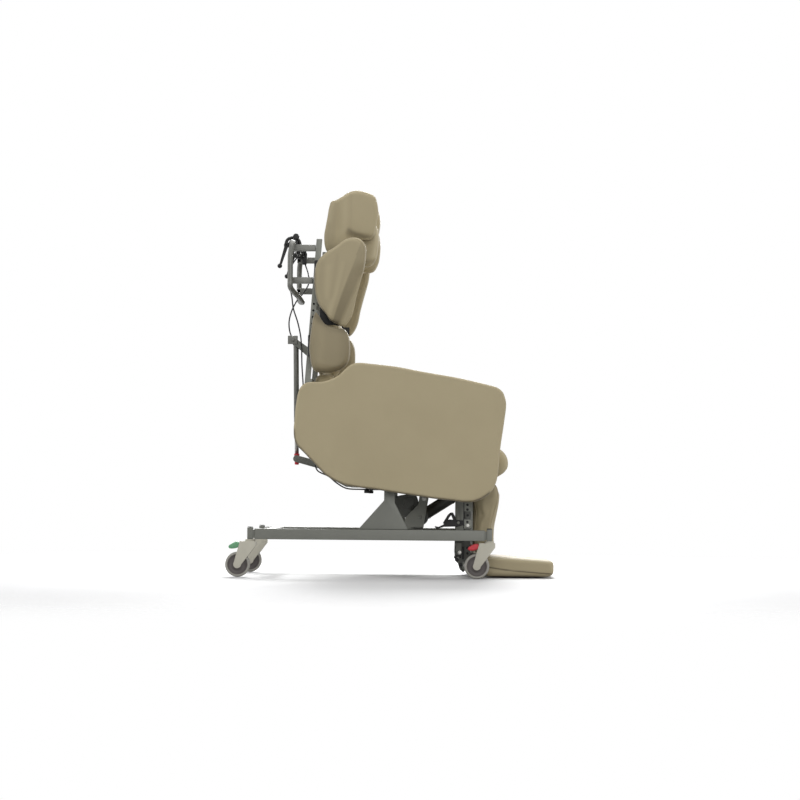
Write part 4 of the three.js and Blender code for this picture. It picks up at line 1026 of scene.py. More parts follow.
@dataclass(frozen=True)
class Stuffing:
    """Swells cushions with a short cloth simulation, as foam fills its cover."""

    voxel: float = 6.0
    pressure: float = 4.0
    frames: int = 20
    piping: float = 1.9
    quality: int = 5
    smoothing: float = 0.5
    smoothings: int = 3
    evenings: int = 12

    def fill(self, pads: Sequence[Pad]) -> dict[str, Piece]:
        """Makes the cushions, all in one simulation, and lays their seams.

        Args:
            pads: The cushions.

        Returns:
            Their pieces by name.
        """
        pieces = [pad.blank() for pad in pads]
        for piece in pieces:
            self._cover(piece)
        for frame in range(1, self.frames + 1):
            bpy.context.scene.frame_set(frame)
        for pad, piece in zip(pads, pieces):
            self._settle(pad, piece)
        bpy.context.scene.frame_set(1)
        return {pad.name: self._sew(pad, piece) for pad, piece in zip(pads, pieces)}

    def _cover(self, piece: Piece) -> None:
        """Remeshes a form evenly and gives it its cloth.

        Args:
            piece: The form.
        """
        remesh = piece.modifiers.new("even", "REMESH")
        remesh.mode = "VOXEL"
        remesh.voxel_size = self.voxel * MM
        self._apply(piece)
        cloth = piece.modifiers.new("cover", "CLOTH")
        cloth.settings.use_pressure = True
        cloth.settings.uniform_pressure_force = self.pressure
        cloth.settings.effector_weights.gravity = 0.0
        cloth.settings.quality = self.quality
        cloth.collision_settings.use_collision = False
        cloth.point_cache.frame_start = 1
        cloth.point_cache.frame_end = self.frames

    def _settle(self, pad: Pad, piece: Piece) -> None:
        """Takes the swollen form over, holds it in its place and smooths it.

        Args:
            pad: The cushion.
            piece: Its form, with its cloth.
        """
        before = vertices(piece.data)
        swollen = piece.evaluated_get(bpy.context.evaluated_depsgraph_get())
        move = vertices(swollen.data) - before
        piece.modifiers.clear()
        length = np.linalg.norm(move, axis=1, keepdims=True)
        move *= np.minimum(1.0, pad.reach * MM / np.maximum(length, 1e-9))
        LOG.info("%s swells by up to %.1f mm", pad.name, float(length.max()) * 1000.0)
        low, high = (to_row(corner) for corner in pad.box())
        after = before + move
        first, last = after.min(axis=0), after.max(axis=0)
        after = low + (after - first) / (last - first) * (high - low)
        piece.data.vertices.foreach_set("co", after.ravel())
        smooth = piece.modifiers.new("smooth", "SMOOTH")
        smooth.factor = self.smoothing
        smooth.iterations = self.smoothings
        fine = piece.modifiers.new("fine", "SUBSURF")
        fine.levels = fine.render_levels = 1
        self._apply(piece)

    @staticmethod
    def _apply(piece: Piece) -> None:
        """Applies every modifier of a piece.

        Args:
            piece: The piece.
        """
        graph = bpy.context.evaluated_depsgraph_get()
        mesh = bpy.data.meshes.new_from_object(piece.evaluated_get(graph))
        piece.modifiers.clear()
        piece.data = mesh
        mesh.shade_smooth()

    def _sew(self, pad: Pad, piece: Piece) -> Piece:
        """Lays the piping of the seams on the form: on its nearest vertices, evened out.

        Args:
            pad: The cushion.
            piece: Its form.

        Returns:
            Both as one piece.
        """
        points = vertices(piece.data)[::3].astype(np.float32)
        parts = [piece]
        for line in pad.lines():
            gap = ((to_row(line).astype(np.float32)[:, None] - points[None]) ** 2).sum(axis=2)
            laid = from_row(points[gap.argmin(axis=1)].astype(float))
            for _ in range(self.evenings):
                laid = (np.roll(laid, 1, axis=0) + 2 * laid + np.roll(laid, -1, axis=0)) / 4
            tube = tube_grid(laid, self.piping, 12, (0, 1, 0), closed=True)
            parts.append(piece_from_grid("piping", tube, ring=True))
        return join_pieces(pad.name, parts)


class Workshop:
    """Dresses pieces and ties them to the frame's bodies and nodes."""

    def __init__(self, frame: dict[str, Any], finishes: Finishes) -> None:
        """Keeps the frame and the finishes.

        Args:
            finishes: The chair's materials.
        """
        self.nodes: dict[str, Piece] = frame["nodes"]
        self.record: dict[str, Any] = frame["record"]
        self.finishes = finishes
        groups = self.record["behaviour"]["bodies"]
        self.body_of = {node: body for body, members in groups.items() for node in members}
        self.dressed: set[str] = set()

    def place(self, piece: Piece, material: bpy.types.Material, slot: Slot, *nodes: str,
              body: str | None = None) -> Piece:
        """Gives a piece its material and body, and hides the nodes that it replaces.

        Args:
            piece: The piece, at the origin.
            material: Its finish.
            slot: Its material slot in the record; not used.
            *nodes: CAD nodes that it stands for.
            body: Body that it rides on, or None for that of its first node.

        Returns:
            The piece.
        """
        piece.data.materials.clear()
        piece.data.materials.append(material)
        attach(piece, body or self.body_of[nodes[0]])
        if nodes:
            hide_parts(*nodes)
            self.dressed.update(nodes)
        LOG.info("%s placed", piece.name)
        return piece

    def join(self, name: str, parts: Sequence[Piece], material: bpy.types.Material, slot: Slot, *nodes: str,
             body: str | None = None) -> None:
        """Joins parts, which are used up, into one named piece and places it as place does."""
        self.place(join_pieces(name, parts), material, slot, *nodes, body=body)

    def rounded(self, node: str, material: bpy.types.Material, slot: Slot, width: float = 1.5,
                segments: int = 3) -> Piece:
        """A copy of a CAD node with its flat faces merged and its edges rounded.

        Args:
            node: The CAD node, which the copy replaces.
            material: Its finish.
            slot: Its material slot.
            width: Width of the rounding in millimetres.
            segments: Facets across it.

        Returns:
            The copy.
        """
        mesh = self.nodes[node].data.copy()
        work = bmesh.new()
        work.from_mesh(mesh)
        bmesh.ops.remove_doubles(work, verts=work.verts, dist=2e-5)
        bmesh.ops.dissolve_limit(work, angle_limit=math.radians(1.0), verts=work.verts, edges=work.edges)
        work.to_mesh(mesh)
        work.free()
        mesh.shade_smooth()
        piece = add_object(f"{node}_dressed", mesh)
        bevel = piece.modifiers.new("rounding", "BEVEL")
        bevel.width = width * MM
        bevel.segments = segments
        bevel.limit_method = "ANGLE"
        bevel.angle_limit = math.radians(32)
        bevel.use_clamp_overlap = True
        bevel.harden_normals = True
        return self.place(piece, material, slot, node)

    def dress_rest(self) -> None:
        """Gives each CAD node that still shows its slot's finish."""
        by_slot = {part["node"]: part["material_slot"] for part in self.record["subparts"]}
        finish = self.finishes
        materials = {
            Slot.FRAME: finish.frame, Slot.HANDLE: finish.handle, Slot.SHAFT: finish.steel,
            Slot.SPRING: finish.spring, Slot.BRACKET: finish.bracket, Slot.UPHOLSTERY: finish.cloth,
            Slot.BLACK: finish.black, Slot.CABLE: finish.cable, Slot.CASTOR: finish.castor,
            Slot.TYRE: finish.tyre, Slot.RED: finish.red, Slot.GREEN: finish.green}
        for name, node in self.nodes.items():
            if name not in self.dressed:
                for slot in node.material_slots:
                    slot.material = materials[Slot(by_slot[name])]
                LOG.info("%s keeps its CAD shape", name)


def box_part(low: Point, high: Point, width: float) -> Piece:
    """A bar with rounded edges, to be joined into a larger piece.

    Args:
        low: Lowest corner in drawing millimetres.
        high: Highest corner.
        width: Rounding of its edges in millimetres.

    Returns:
        The bar.
    """
    base = np.minimum(low, high)
    size = np.abs(np.asarray(high, dtype=float) - np.asarray(low, dtype=float))
    offset = min(width, 0.45 * float(size.min())) * MM
    work = bmesh.new()
    bmesh.ops.create_cube(work, size=1.0, matrix=Matrix.Translation((0.5, 0.5, 0.5)))
    bmesh.ops.scale(work, verts=work.verts, vec=tuple(size * MM))
    bmesh.ops.bevel(work, geom=work.edges, offset=offset, segments=3, profile=0.5, affect="EDGES")
    mesh = bpy.data.meshes.new("bar")
    work.to_mesh(mesh)
    work.free()
    mesh.vertices.foreach_set("co", (vertices(mesh) + to_row(base)).ravel())
    return add_object("bar", mesh)


def hex_bolt(centre: Point, along: int, across: float, tall: float) -> Piece:
    """A hexagon bolt head on its washer, with its axis across the chair.

    Args:
        centre: Point on the surface that it sits on, in drawing millimetres.
        along: 1 or -1, the way that it stands up along y.
        across: Width of the head.
        tall: Height of the head.

    Returns:
        The bolt head.
    """
    corner, rim, thick, dome = across / 1.732, across * 0.72, 1.2, 0.9
    washer = ((0, 0), (rim, 0), (rim, thick), (0, thick))
    head = ((0, thick), (corner, thick), (corner, tall), (corner * 0.84, tall + dome), (0, tall + dome))
    grids = [turned_grid([(r, along * a) for r, a in washer], centre, 32, 3),
             turned_grid([(r, along * a) for r, a in head], centre, 6, 2)]
    bolt = join_pieces("bolt", [piece_from_grid("bolt", grid) for grid in grids])
    sharpen(bolt, 25)
    return bolt


def flat_part(corners: Sequence[Point], bend: float, edge: Edge, middle: float, steps: int = 6) -> Piece:
    """A plate in the side view, to be joined, whose corners are cut back by a bend of some steps."""
    return piece_from_grid("plate", slab_grid(rounded_polygon(corners, bend, steps), edge, middle))


def turned_part(profile: Sequence[Point], centre: Point, sides: int, rounding: int = 3,
                axis: str = "y") -> Piece:
    """A turned piece, to be joined into a larger one; see turned_grid for its values."""
    return piece_from_grid("turned", turned_grid(profile, centre, sides, rounding, axis))


def mirrored(half: Sequence[Pair], closed: bool = False) -> list[Pair]:
    """A turned profile that is the same at both ends.

    Args:
        half: (radius, along) pairs of the half at negative distances.
        closed: Whether it returns to its first pair, as round a bore.

    Returns:
        The whole profile.
    """
    whole = [*half, *((radius, -along) for radius, along in reversed(half) if along)]
    return whole + whole[:1] if closed else whole


def upright_x(z: Array | float) -> Array | float:
    """x of the back uprights' centre line at a height."""
    return -583.0 + 0.0734 * (z - 455.0)


class End(Enum):
    """The ends of the base, with x of the castor stems at each."""

    FRONT = 41.0
    REAR = -750.0


RAIL_Y = 274.0


@dataclass
class Base:
    """Floor frame: side rails, cross tubes and tilt towers, with their bolts and tube plugs."""

    shop: Workshop
    tube_rounding: float = 2.6
    plate_rounding: float = 1.6
    shaft: Pair = (-290.0, 318.0)
    tower_face: float = 285.2
    stem_top: float = 163.4

    def build(self) -> None:
        """Makes the base."""
        finish = self.shop.finishes
        for side in Side:
            self.shop.rounded(f"base_rail_{side.word}", finish.frame, Slot.FRAME, self.tube_rounding, 4)
            self.shop.rounded(f"tower_{side.word}", finish.frame, Slot.FRAME, self.plate_rounding)
            self._fittings(side)
        for name in ("base_cross_front", "base_cross_rear"):
            self.shop.rounded(name, finish.frame, Slot.FRAME, self.tube_rounding, 4)
        self.shop.rounded("tilt_shaft", finish.steel, Slot.SHAFT, 1.0)

    def _fittings(self, side: Side) -> None:
        """The bolt on the tilt shaft's end and the caps over the castor stems.

        Args:
            side: Their side of the chair.
        """
        x, z = self.shaft
        bolts = [hex_bolt((x, side.value * self.tower_face, z), side.value, 17, 4)]
        self.shop.join(f"tower_bolts_{side.word}", bolts, self.shop.finishes.steel, Slot.SHAFT, body="base")
        cap = ((0, 0), (9, 0), (9, 2.2), (6, 3.2), (0, 3.2))
        caps = [turned_part(cap, (end.value, side.value * RAIL_Y, self.stem_top), 32, 3, "z") for end in End]
        self.shop.join(f"stem_caps_{side.word}", caps, self.shop.finishes.black, Slot.BLACK, body="base")


PEDAL_SHARES = (
    (0, 0.22), (0.1, 0.04), (0.35, 0), (0.7, 0.1), (1, 0.4), (1, 0.8), (0.86, 1), (0.6, 0.96), (0.3, 0.72),
    (0.05, 0.48))


@dataclass
class Castor:
    """One braked castor: fork with its hood, wheel with a tyre and a hub, and pedal."""

    shop: Workshop
    end: End
    side: Side
    trail: float = 41.0
    radius: float = 41.5
    pedal_span: Pair = (71.0, 33.3)
    pedal_height: Pair = (93.0, 116.0)
    pedal_half: float = 15.0
    rib_half: float = 11.0

    def build(self) -> None:
        """Makes the castor."""
        place = f"{self.end.name.lower()}_{self.side.word}"
        middle = self.side.value * RAIL_Y
        fork = self.shop.rounded(f"castor_fork_{place}", self.shop.finishes.castor, Slot.CASTOR, 3.2, 4)
        fork.modifiers["rounding"].angle_limit = math.radians(28)
        self._wheel(place, (self.end.value - self.trail, middle, self.radius))
        self._pedal(place, middle)

    def _wheel(self, place: str, centre: Point) -> None:
        """The tyre and the dished hub.

        Args:
            place: The castor's place, as node names end.
            centre: Centre of the wheel.
        """
        node = f"castor_wheel_{place}"
        tread = mirrored(((33.2, -10.5), (35, -12.2), (38.4, -12.3), (40.3, -10.4), (41.2, -6), (41.45, 0)))
        tyre = piece_from_grid(f"tyre_{place}", turned_grid(tread, centre, 96, 3))
        self.shop.place(tyre, self.shop.finishes.tyre, Slot.TYRE, node)
        dish = mirrored(((7, -11), (13, -11), (15, -8.6), (22, -6.4), (29, -8), (31.5, -10.6), (33.4, -10.8)))
        hub = piece_from_grid(f"hub_{place}", turned_grid(dish, centre, 96, 3))
        self.shop.place(hub, self.shop.finishes.hub, Slot.TYRE, body=self.shop.body_of[node])

    def _pedal(self, place: str, middle: float) -> None:
        """The tread of the pedal, with grip ribs.

        Args:
            place: The castor's place, as node names end.
            middle: y of its middle.
        """
        rear, front = (self.end.value - span for span in self.pedal_span)
        ring = share_loop(PEDAL_SHARES, (rear, front, *self.pedal_height), 72)
        edge = Edge(self.pedal_half, 5, reach=2, step=1.0)
        parts = [piece_from_grid("tread", slab_grid(ring, edge, middle))]
        for x, z in ((13, 110.6), (18, 113.2), (23, 115.0)):
            line = [(rear + x, middle + way * self.rib_half, z + 0.4 * (1 - abs(way))) for way in (-1, 0, 1)]
            parts.append(piece_from_grid("rib", tube_grid(smooth_line(line, 12), 1.1, 10)))
        finish, slot = {End.FRONT: (self.shop.finishes.red, Slot.RED),
                        End.REAR: (self.shop.finishes.green, Slot.GREEN)}[self.end]
        self.shop.join(f"pedal_{place}", parts, finish, slot, f"castor_pedal_{place}")


@dataclass
class TiltSpring:
    """Gas spring under the seat, with its release housing, its bracket and its pivot bolts."""

    shop: Workshop
    foot: Place = (-190.0, 0.0, 200.0)
    head: Place = (-25.0, 0.0, 305.0)
    barrel: Pairs = (
        (10, 14), (11, 19), (12, 19.6), (24, 20.4), (24.5, 21.4), (30, 21.4), (30.5, 20.2), (118, 20.2),
        (119, 21), (122, 21.2), (124, 21.2), (130, 19), (131.6, 14), (132, 7.6))
    lobe: Pairs = (
        (10, 28), (66, 28), (76, 27.2), (84, 24.5), (89, 20), (91.5, 14), (92, 4.0))
    lobe_angle: float = math.radians(132)
    knuckle: Pairs = ((7.4, -28), (26.5, -28), (28, -26.5))
    case: Pairs = (
        (-290, 252), (-276, 270), (-244, 277), (-204, 278), (-194, 248), (-222, 202), (-240, 196),
        (-262, 210))
    lid: Pairs = ((-252, 238), (-240, 268), (-212, 268), (-206, 248), (-232, 226))
    plate: Pairs = (
        (-234, 161), (-243, 186), (-239, 200), (-196, 244), (-192, 276), (-160, 276), (-166, 240),
        (-179, 161))
    plate_y: float = 49.0
    plate_half: float = 4.0
    eye_half: float = 18.0

    def build(self) -> None:
        """Makes the spring."""
        finish = self.shop.finishes
        self._bracket()
        foot = np.array(self.foot)
        along = (np.array(self.head) - foot) / np.linalg.norm(np.array(self.head) - foot)
        lobe_way = np.array([math.cos(self.lobe_angle), 0, math.sin(self.lobe_angle)])
        parts = [self._stepped(self.barrel, along), self._stepped(self.lobe, lobe_way),
                 turned_part(mirrored(self.knuckle, closed=True), self.foot, 64),
                 flat_part(self.case, 12, Edge(26, 3, reach=2, step=1.0), 0, 8),
                 flat_part(self.lid, 8, Edge(28, 1.6, reach=2, step=1.0), 0, 8)]
        self.shop.join("tilt_spring_housing", parts, finish.spring, Slot.SPRING, "tilt_spring_tube")
        self.shop.rounded("tilt_spring_rod", finish.steel, Slot.HANDLE, 0.8)
        face = self.plate_y + self.plate_half
        foot_bolts = [hex_bolt((-177, way * face, 264), way, 11, 4) for way in (1, -1)]
        self.shop.join("spring_foot_bolts", foot_bolts, finish.steel, Slot.SHAFT, body="base")
        x, _, z = self.head
        head_bolts = [hex_bolt((x, way * self.eye_half, z), way, 9, 3.4) for way in (1, -1)]
        self.shop.join("spring_head_bolts", head_bolts, finish.steel, Slot.SHAFT, body="seat")

    def _stepped(self, profile: Sequence[Pair], way: Array) -> Piece:
        """A round body that starts at the foot.

        Args:
            profile: (distance, radius) pairs.
            way: Its direction.

        Returns:
            The body.
        """
        pairs = np.array(profile, dtype=float)
        line = np.array(self.foot) + pairs[:, :1] * way
        return piece_from_grid("body", tube_grid(line, pairs[:, 1], 48, (0, 1, 0)))

    def _bracket(self) -> None:
        """The V bracket of two plates, its floor and its pin."""
        edge = Edge(self.plate_half, 1.2, reach=1, step=0.6)
        pin = mirrored(((0, -54.5), (6, -54.5), (7, -53.5)))
        parts = [*(flat_part(self.plate, 3, edge, y, 5) for y in (-self.plate_y, self.plate_y)),
                 box_part((-221, -53, 160.4), (-179, 53, 166.3), 1.2), turned_part(pin, self.foot, 32, 2)]
        # Painted light: the bracket takes the lightened copy of the frame paint.
        self.shop.join("spring_bracket", parts, self.shop.finishes.plate, Slot.FRAME, "tilt_spring_bracket")


@dataclass
class Seat:
    """Seat frame, its shaft and the arms' height knobs."""

    shop: Workshop
    knob: Pairs = (
        (0, 280), (7.6, 280), (9, 281.4), (9, 289), (7.6, 290.4), (4.2, 291), (4.2, 299.7), (0, 299.7))
    knob_place: Pair = (-366.0, 256.0)
    knee: Place = (45.0, 270.9, 380.0)

    def build(self) -> None:
        """Makes the seat."""
        finish = self.shop.finishes
        self.shop.rounded("seat_frame", finish.frame, Slot.FRAME, 1.4)
        self.shop.rounded("recline_shaft", finish.steel, Slot.SHAFT, 0.8)
        for side in Side:
            centre = (self.knob_place[0], side.value * self.knob_place[1], 0)
            knob = piece_from_grid(f"arm_height_knob_{side.word}", turned_grid(self.knob, centre, 48, 3, "z"))
            self.shop.place(knob, finish.black, Slot.BLACK, f"arm_knob_{side.word}")
            x, y, z = self.knee
            bolt = hex_bolt((x, side.value * y, z), side.value, 12, 3.6)
            self.shop.join(f"knee_bolt_{side.word}", [bolt], finish.steel, Slot.SHAFT, body="seat")


ARM_SHARES = (
    (0.053, 0.85), (0.027, 0.811), (0.01, 0.7), (0.004, 0.59), (0, 0.511), (0.004, 0.445), (0.016, 0.401),
    (0.056, 0.337), (0.092, 0.28), (0.148, 0.192), (0.191, 0.15), (0.241, 0.117), (0.298, 0.101),
    (0.386, 0.086), (0.479, 0.064), (0.574, 0.044), (0.66, 0.024), (0.746, 0.011), (0.803, 0),
    (0.848, 0.002), (0.89, 0.026), (0.925, 0.064), (0.947, 0.115), (0.961, 0.181), (0.974, 0.392),
    (0.991, 0.579), (1, 0.711), (0.994, 0.758), (0.984, 0.795), (0.958, 0.828), (0.908, 0.85),
    (0.763, 0.899), (0.618, 0.936), (0.482, 0.974), (0.366, 0.993), (0.308, 1), (0.273, 0.991),
    (0.244, 0.958), (0.208, 0.907), (0.165, 0.874), (0.128, 0.859), (0.089, 0.859))


@dataclass
class Arms:
    """Arm panels on their posts."""

    shop: Workshop
    box: Box = (-606.0, 91.0, 254.0, 708.0)
    middle: float = 315.0
    hub: Pair = (-250.0, 480.0)
    edge: Edge = Edge(24, 9, crown=1.2, belly=1.2, reach=10, step=1.4, seams=(Seam(17.5, 0.9, 0.8, 1.9),))

    def build(self) -> None:
        """Makes both arms."""
        rear, front, low, top = self.box
        ring = share_loop(ARM_SHARES, self.box, 320)
        under = np.array((rear, low)) + np.array(ARM_SHARES[4:22]) * np.array((front - rear, top - low))
        # A painted dark line of shade along the arm panel's rounded underside.
        shadow = Fold(tuple(map(tuple, under.tolist())), 4.5, 0.7)
        for side in Side:
            panel = piece_from_grid(f"arm_pad_{side.word}",
                                    slab_grid(ring, self.edge, side.value * self.middle, self.hub))
            tone_piece(panel, (shadow,))
            self.shop.place(panel, self.shop.finishes.cloth, Slot.UPHOLSTERY, f"arm_panel_{side.word}")
            self.shop.rounded(f"arm_post_{side.word}", self.shop.finishes.frame, Slot.FRAME, 1.6)


BACK_SHARES = (
    (0.0, 0.07), (0.1, 0.0), (0.5, 0.0), (0.82, 0.02), (0.96, 0.16), (1.0, 0.5), (0.96, 0.84), (0.82, 0.98),
    (0.5, 1.0), (0.1, 1.0), (0.0, 0.93), (0.0, 0.5))
UPPER_WING_RING = (
    (-425, 1128), (-445, 1122), (-476, 1099), (-506, 1080), (-526, 1062), (-539, 1041), (-545, 1011),
    (-546, 984), (-542, 945), (-536, 919), (-524, 896), (-507, 876), (-494, 856), (-470, 842), (-447, 836),
    (-434, 848), (-420, 875), (-407, 934), (-389, 1002), (-382, 1030), (-377, 1094), (-384, 1111),
    (-398, 1124), (-411, 1128))
LUMBAR_WING_SHARES = (
    (0.145, 0.945), (0.21, 0.905), (0.39, 0.76), (0.66, 0.7), (0.86, 0.68), (0.96, 0.58), (1.0, 0.43),
    (0.99, 0.26), (0.93, 0.14), (0.8, 0.06), (0.66, 0.025), (0.49, 0.0), (0.22, 0.01), (0.11, 0.045),
    (0.04, 0.16), (0.0, 0.4), (0.04, 0.68), (0.08, 0.85))
# Painted shade and painted highlights on the wing covers, as lines and faces in the side view: tones above 0
# are painted shade in creases, under edges and on faces turned from the light, and tones below 0 are painted
# highlights where light falls.
UPPER_PAINTED_SHADING = (
    Fold(((-410, 1066), (-435, 1003), (-462, 930), (-488, 850)), 7.0, 0.44, 400.0, 0.62),
    Fold(((-438, 1050), (-461, 950), (-490, 850)), 5.0, 0.1, rise=0.8),
    Fold(((-452, 1040), (-474, 940), (-500, 870)), 8.0, -0.12, rise=0.5),
    Fold(((-520, 1040), (-526, 960), (-505, 880)), 12.0, 0.08),
    Fold(((-500, 1030), (-505, 930)), 10.0, -0.07),
    Fold(((-470, 1070), (-478, 1000), (-490, 930)), 7.0, 0.06),
    Fold(((-495, 848), (-470, 842), (-440, 838)), 8.0, 0.35),
    Fold(((-545, 1010), (-543, 943), (-528, 892), (-496, 853)), 5.0, 0.3))
LUMBAR_PAINTED_SHADING = (
    Fold(((-560, 686), (-500, 680), (-430, 700)), 12.0, 0.3),
    Fold(((-545, 870), (-507, 841), (-445, 824)), 14.0, 0.3),
    Fold(((-437, 840), (-432, 770), (-440, 710)), 22.0, 0.12),
    Fold(((-560, 880), (-556, 780), (-556, 700)), 9.0, 0.12),
    Fold(((-520, 830), (-522, 700)), 14.0, -0.06))
HEAD_PAINTED_SHADING = (
    Fold(((-478, 1275), (-484, 1200), (-488, 1130)), 9.0, 0.12, rise=0.5),
    Fold(((-448, 1290), (-450, 1160)), 14.0, -0.12),
    Fold(((-423, 1155), (-423, 1297)), 6.0, 0.07, 900.0),
    Fold(((-436, 1162), (-412, 1150), (-385, 1143), (-345, 1136)), 7.0, 0.4),
    Fold(((-440, 1152), (-410, 1138), (-380, 1131), (-345, 1126)), 8.0, 0.25),
    Fold(((-470, 1150), (-450, 1120), (-410, 1100)), 20.0, -0.08),
    Fold(((-505, 1180), (-508, 1130), (-490, 1100)), 12.0, 0.1),
    Fold(((-515, 1180), (-505, 1250)), 6.0, -0.1))
SHOULDER_PAINTED_SHADING = (
    Fold(((-400, 1200), (-396, 1120), (-410, 1060)), 10.0, 0.2),
    Fold(((-345, 1180), (-343, 1130), (-352, 1080)), 12.0, -0.2),
    Fold(((-470, 1080), (-420, 1052), (-350, 1066)), 8.0, 0.3))


def back_ring(offset: float, deep: float, low: float, top: float) -> Array:
    """Side outline of a back cushion that leans with the uprights.

    Args:
        offset: Distance of its rear from the uprights' centre line.
        deep: Its depth.
        low: Its lower end.
        top: Its upper end.

    Returns:
        Points as (200, 2).
    """
    ring = share_loop(BACK_SHARES, (0, deep, low, top), 200)
    return np.column_stack([ring[:, 0] + offset + upright_x(ring[:, 1]), ring[:, 1]])


@dataclass(frozen=True)
class Wing:
    """A side wing: its outline, relief, painted shade and highlights, the painted shade over all of it, and
    where its hinge starts.
    """

    name: str
    ring: Array
    relief: Relief
    folds: tuple[Fold, ...]
    tone: float
    hinge_low: float


@dataclass
class Back:
    """Back frame with its side wings, their hinges and the dark liners of the uprights."""

    shop: Workshop
    upright_y: float = 215.0
    wing_y: float = 257.8
    hinge_y: float = 235.6
    fold_y: float = 262.0
    edge: Edge = Edge(28.5, 17, crown=1.0, belly=1.5, reach=20, step=1.8, seams=(Seam(24.0, 1.3, 0.9, 2.2),))
    barrel: Pairs = (
        (0, 0), (7, 0), (8, 1), (8, 22), (7.2, 23), (8, 24), (8, 46), (7.2, 47), (8, 48), (8, 69), (7, 70),
        (0, 70))
    leaf: Pair = (1.0, 69.0)
    leaf_thick: float = 3.8
    liner: Pair = (620.0, 1110.0)
    # Dark sheets between the wings, which stand for the shade in the gaps there, and their y.
    flaps: tuple[Box, ...] = ((-529, -468, 840, 906), (-476, -446, 838, 864))
    flap_y: Pair = (225.6, 227.2)

    def build(self) -> None:
        """Makes the back."""
        self.shop.rounded("back_frame", self.shop.finishes.frame, Slot.FRAME, 1.4)
        upper_ring = anticlockwise(smooth_loop(UPPER_WING_RING, 240))
        # Each wing also has painted shade over the whole pad: 0.1 on the upper wing and 0.33 on the lumbar
        # wing.
        upper = Wing("upper", np.clip(upper_ring, (-546, 835), (-375, 1137)),
                     crease((-404, 1058), (-490, 854), 0.62, 60), UPPER_PAINTED_SHADING, 0.1, 985.0)
        lumbar = Wing("lumbar", share_loop(LUMBAR_WING_SHARES, (-560, -427, 679, 890), 200),
                      crease((-440, 690), (-560, 715), 0.3), LUMBAR_PAINTED_SHADING, 0.33, 735.0)
        for side in Side:
            self._pad(upper, side)
            self._hinge(upper, side)
            self._pad(lumbar, side)
            self._hinge(lumbar, side)
            self._liner(side)

    def _pad(self, wing: Wing, side: Side) -> None:
        """The wing's padded panel.

        Args:
            wing: The wing.
            side: Its side of the chair.
        """
        grid = slab_grid(wing.ring, self.edge, side.value * self.wing_y, relief=wing.relief)
        pad = piece_from_grid(f"{wing.name}_wing_pad_{side.word}", grid)
        # Painted shade and highlights along the wing's creases and edges, set in only on the outer part of
        # the pad.
        tone_piece(pad, wing.folds, wing.tone, self.fold_y)
        self.shop.place(pad, self.shop.finishes.cloth, Slot.UPHOLSTERY, f"{wing.name}_wing_{side.word}")

    def _hinge(self, wing: Wing, side: Side) -> None:
        """The wing's hinge: a barrel on the upright and a leaf behind the panel.

        Args:
            wing: The wing.
            side: Its side of the chair.
        """
        low = wing.hinge_low
        x, y = float(upright_x(low + 35)), side.value * self.hinge_y
        start, end = self.leaf
        leaf = box_part((x, y, low + start),
                        (float(wing.ring[:, 0].mean()), y + side.value * self.leaf_thick, low + end), 1.0)
        parts = [turned_part(self.barrel, (x, y, low), 40, 3, "z"), leaf]
        self.shop.join(f"{wing.name}_wing_hinge_{side.word}", parts, self.shop.finishes.black, Slot.BLACK,
                       body=f"{wing.name}_wing_{side.word}")

    def _liner(self, side: Side) -> None:
        """The dark lining of an upright's holes, with the dark sheets between the wings that stand for the
        shade in the gaps there.

        Args:
            side: Its side of the chair.
        """
        rise = np.linspace(*self.liner, 12)
        line = np.column_stack([upright_x(rise), np.full(12, side.value * self.upright_y), rise])
        near, far = (side.value * y for y in self.flap_y)
        parts = [piece_from_grid("liner", tube_grid(line, 4.6, 12)),
                 *(box_part((rear, near, low), (front, far, top), 0.5)
                   for rear, front, low, top in self.flaps)]
        self.shop.join(f"upright_liner_{side.word}", parts, self.shop.finishes.black, Slot.BLACK, body="back")


HEAD_WING_SHARES = (
    (0.625, 1), (0.752, 0.976), (0.855, 0.947), (0.941, 0.896), (0.98, 0.797), (1, 0.674), (0.984, 0.53),
    (0.959, 0.409), (0.925, 0.281), (0.855, 0.215), (0.709, 0.201), (0.529, 0.182), (0.406, 0.094),
    (0.26, 0.017), (0.148, 0), (0.058, 0.012), (0.015, 0.097), (0, 0.274), (0.026, 0.419), (0.058, 0.579),
    (0.086, 0.724), (0.125, 0.816), (0.218, 0.845), (0.333, 0.903), (0.417, 0.954), (0.501, 0.984))
SHOULDER_WING_SHARES = (
    (0.52, 0.0), (0.68, 0.0), (0.83, 0.035), (0.945, 0.19), (0.99, 0.38), (1.0, 0.555), (0.955, 0.775),
    (0.815, 0.94), (0.56, 1.0), (0.25, 0.94), (0.045, 0.735), (0.0, 0.44), (0.1, 0.17), (0.29, 0.035))


@dataclass(frozen=True)
class SidePad:
    """A pad beside the head: its outline's shares and box, its y and half width, its relief and its painted
    shade and highlights.
    """

    name: str
    shares: Pairs
    box: Box
    middle: float
    half: float
    relief: Relief | None
    folds: tuple[Fold, ...]


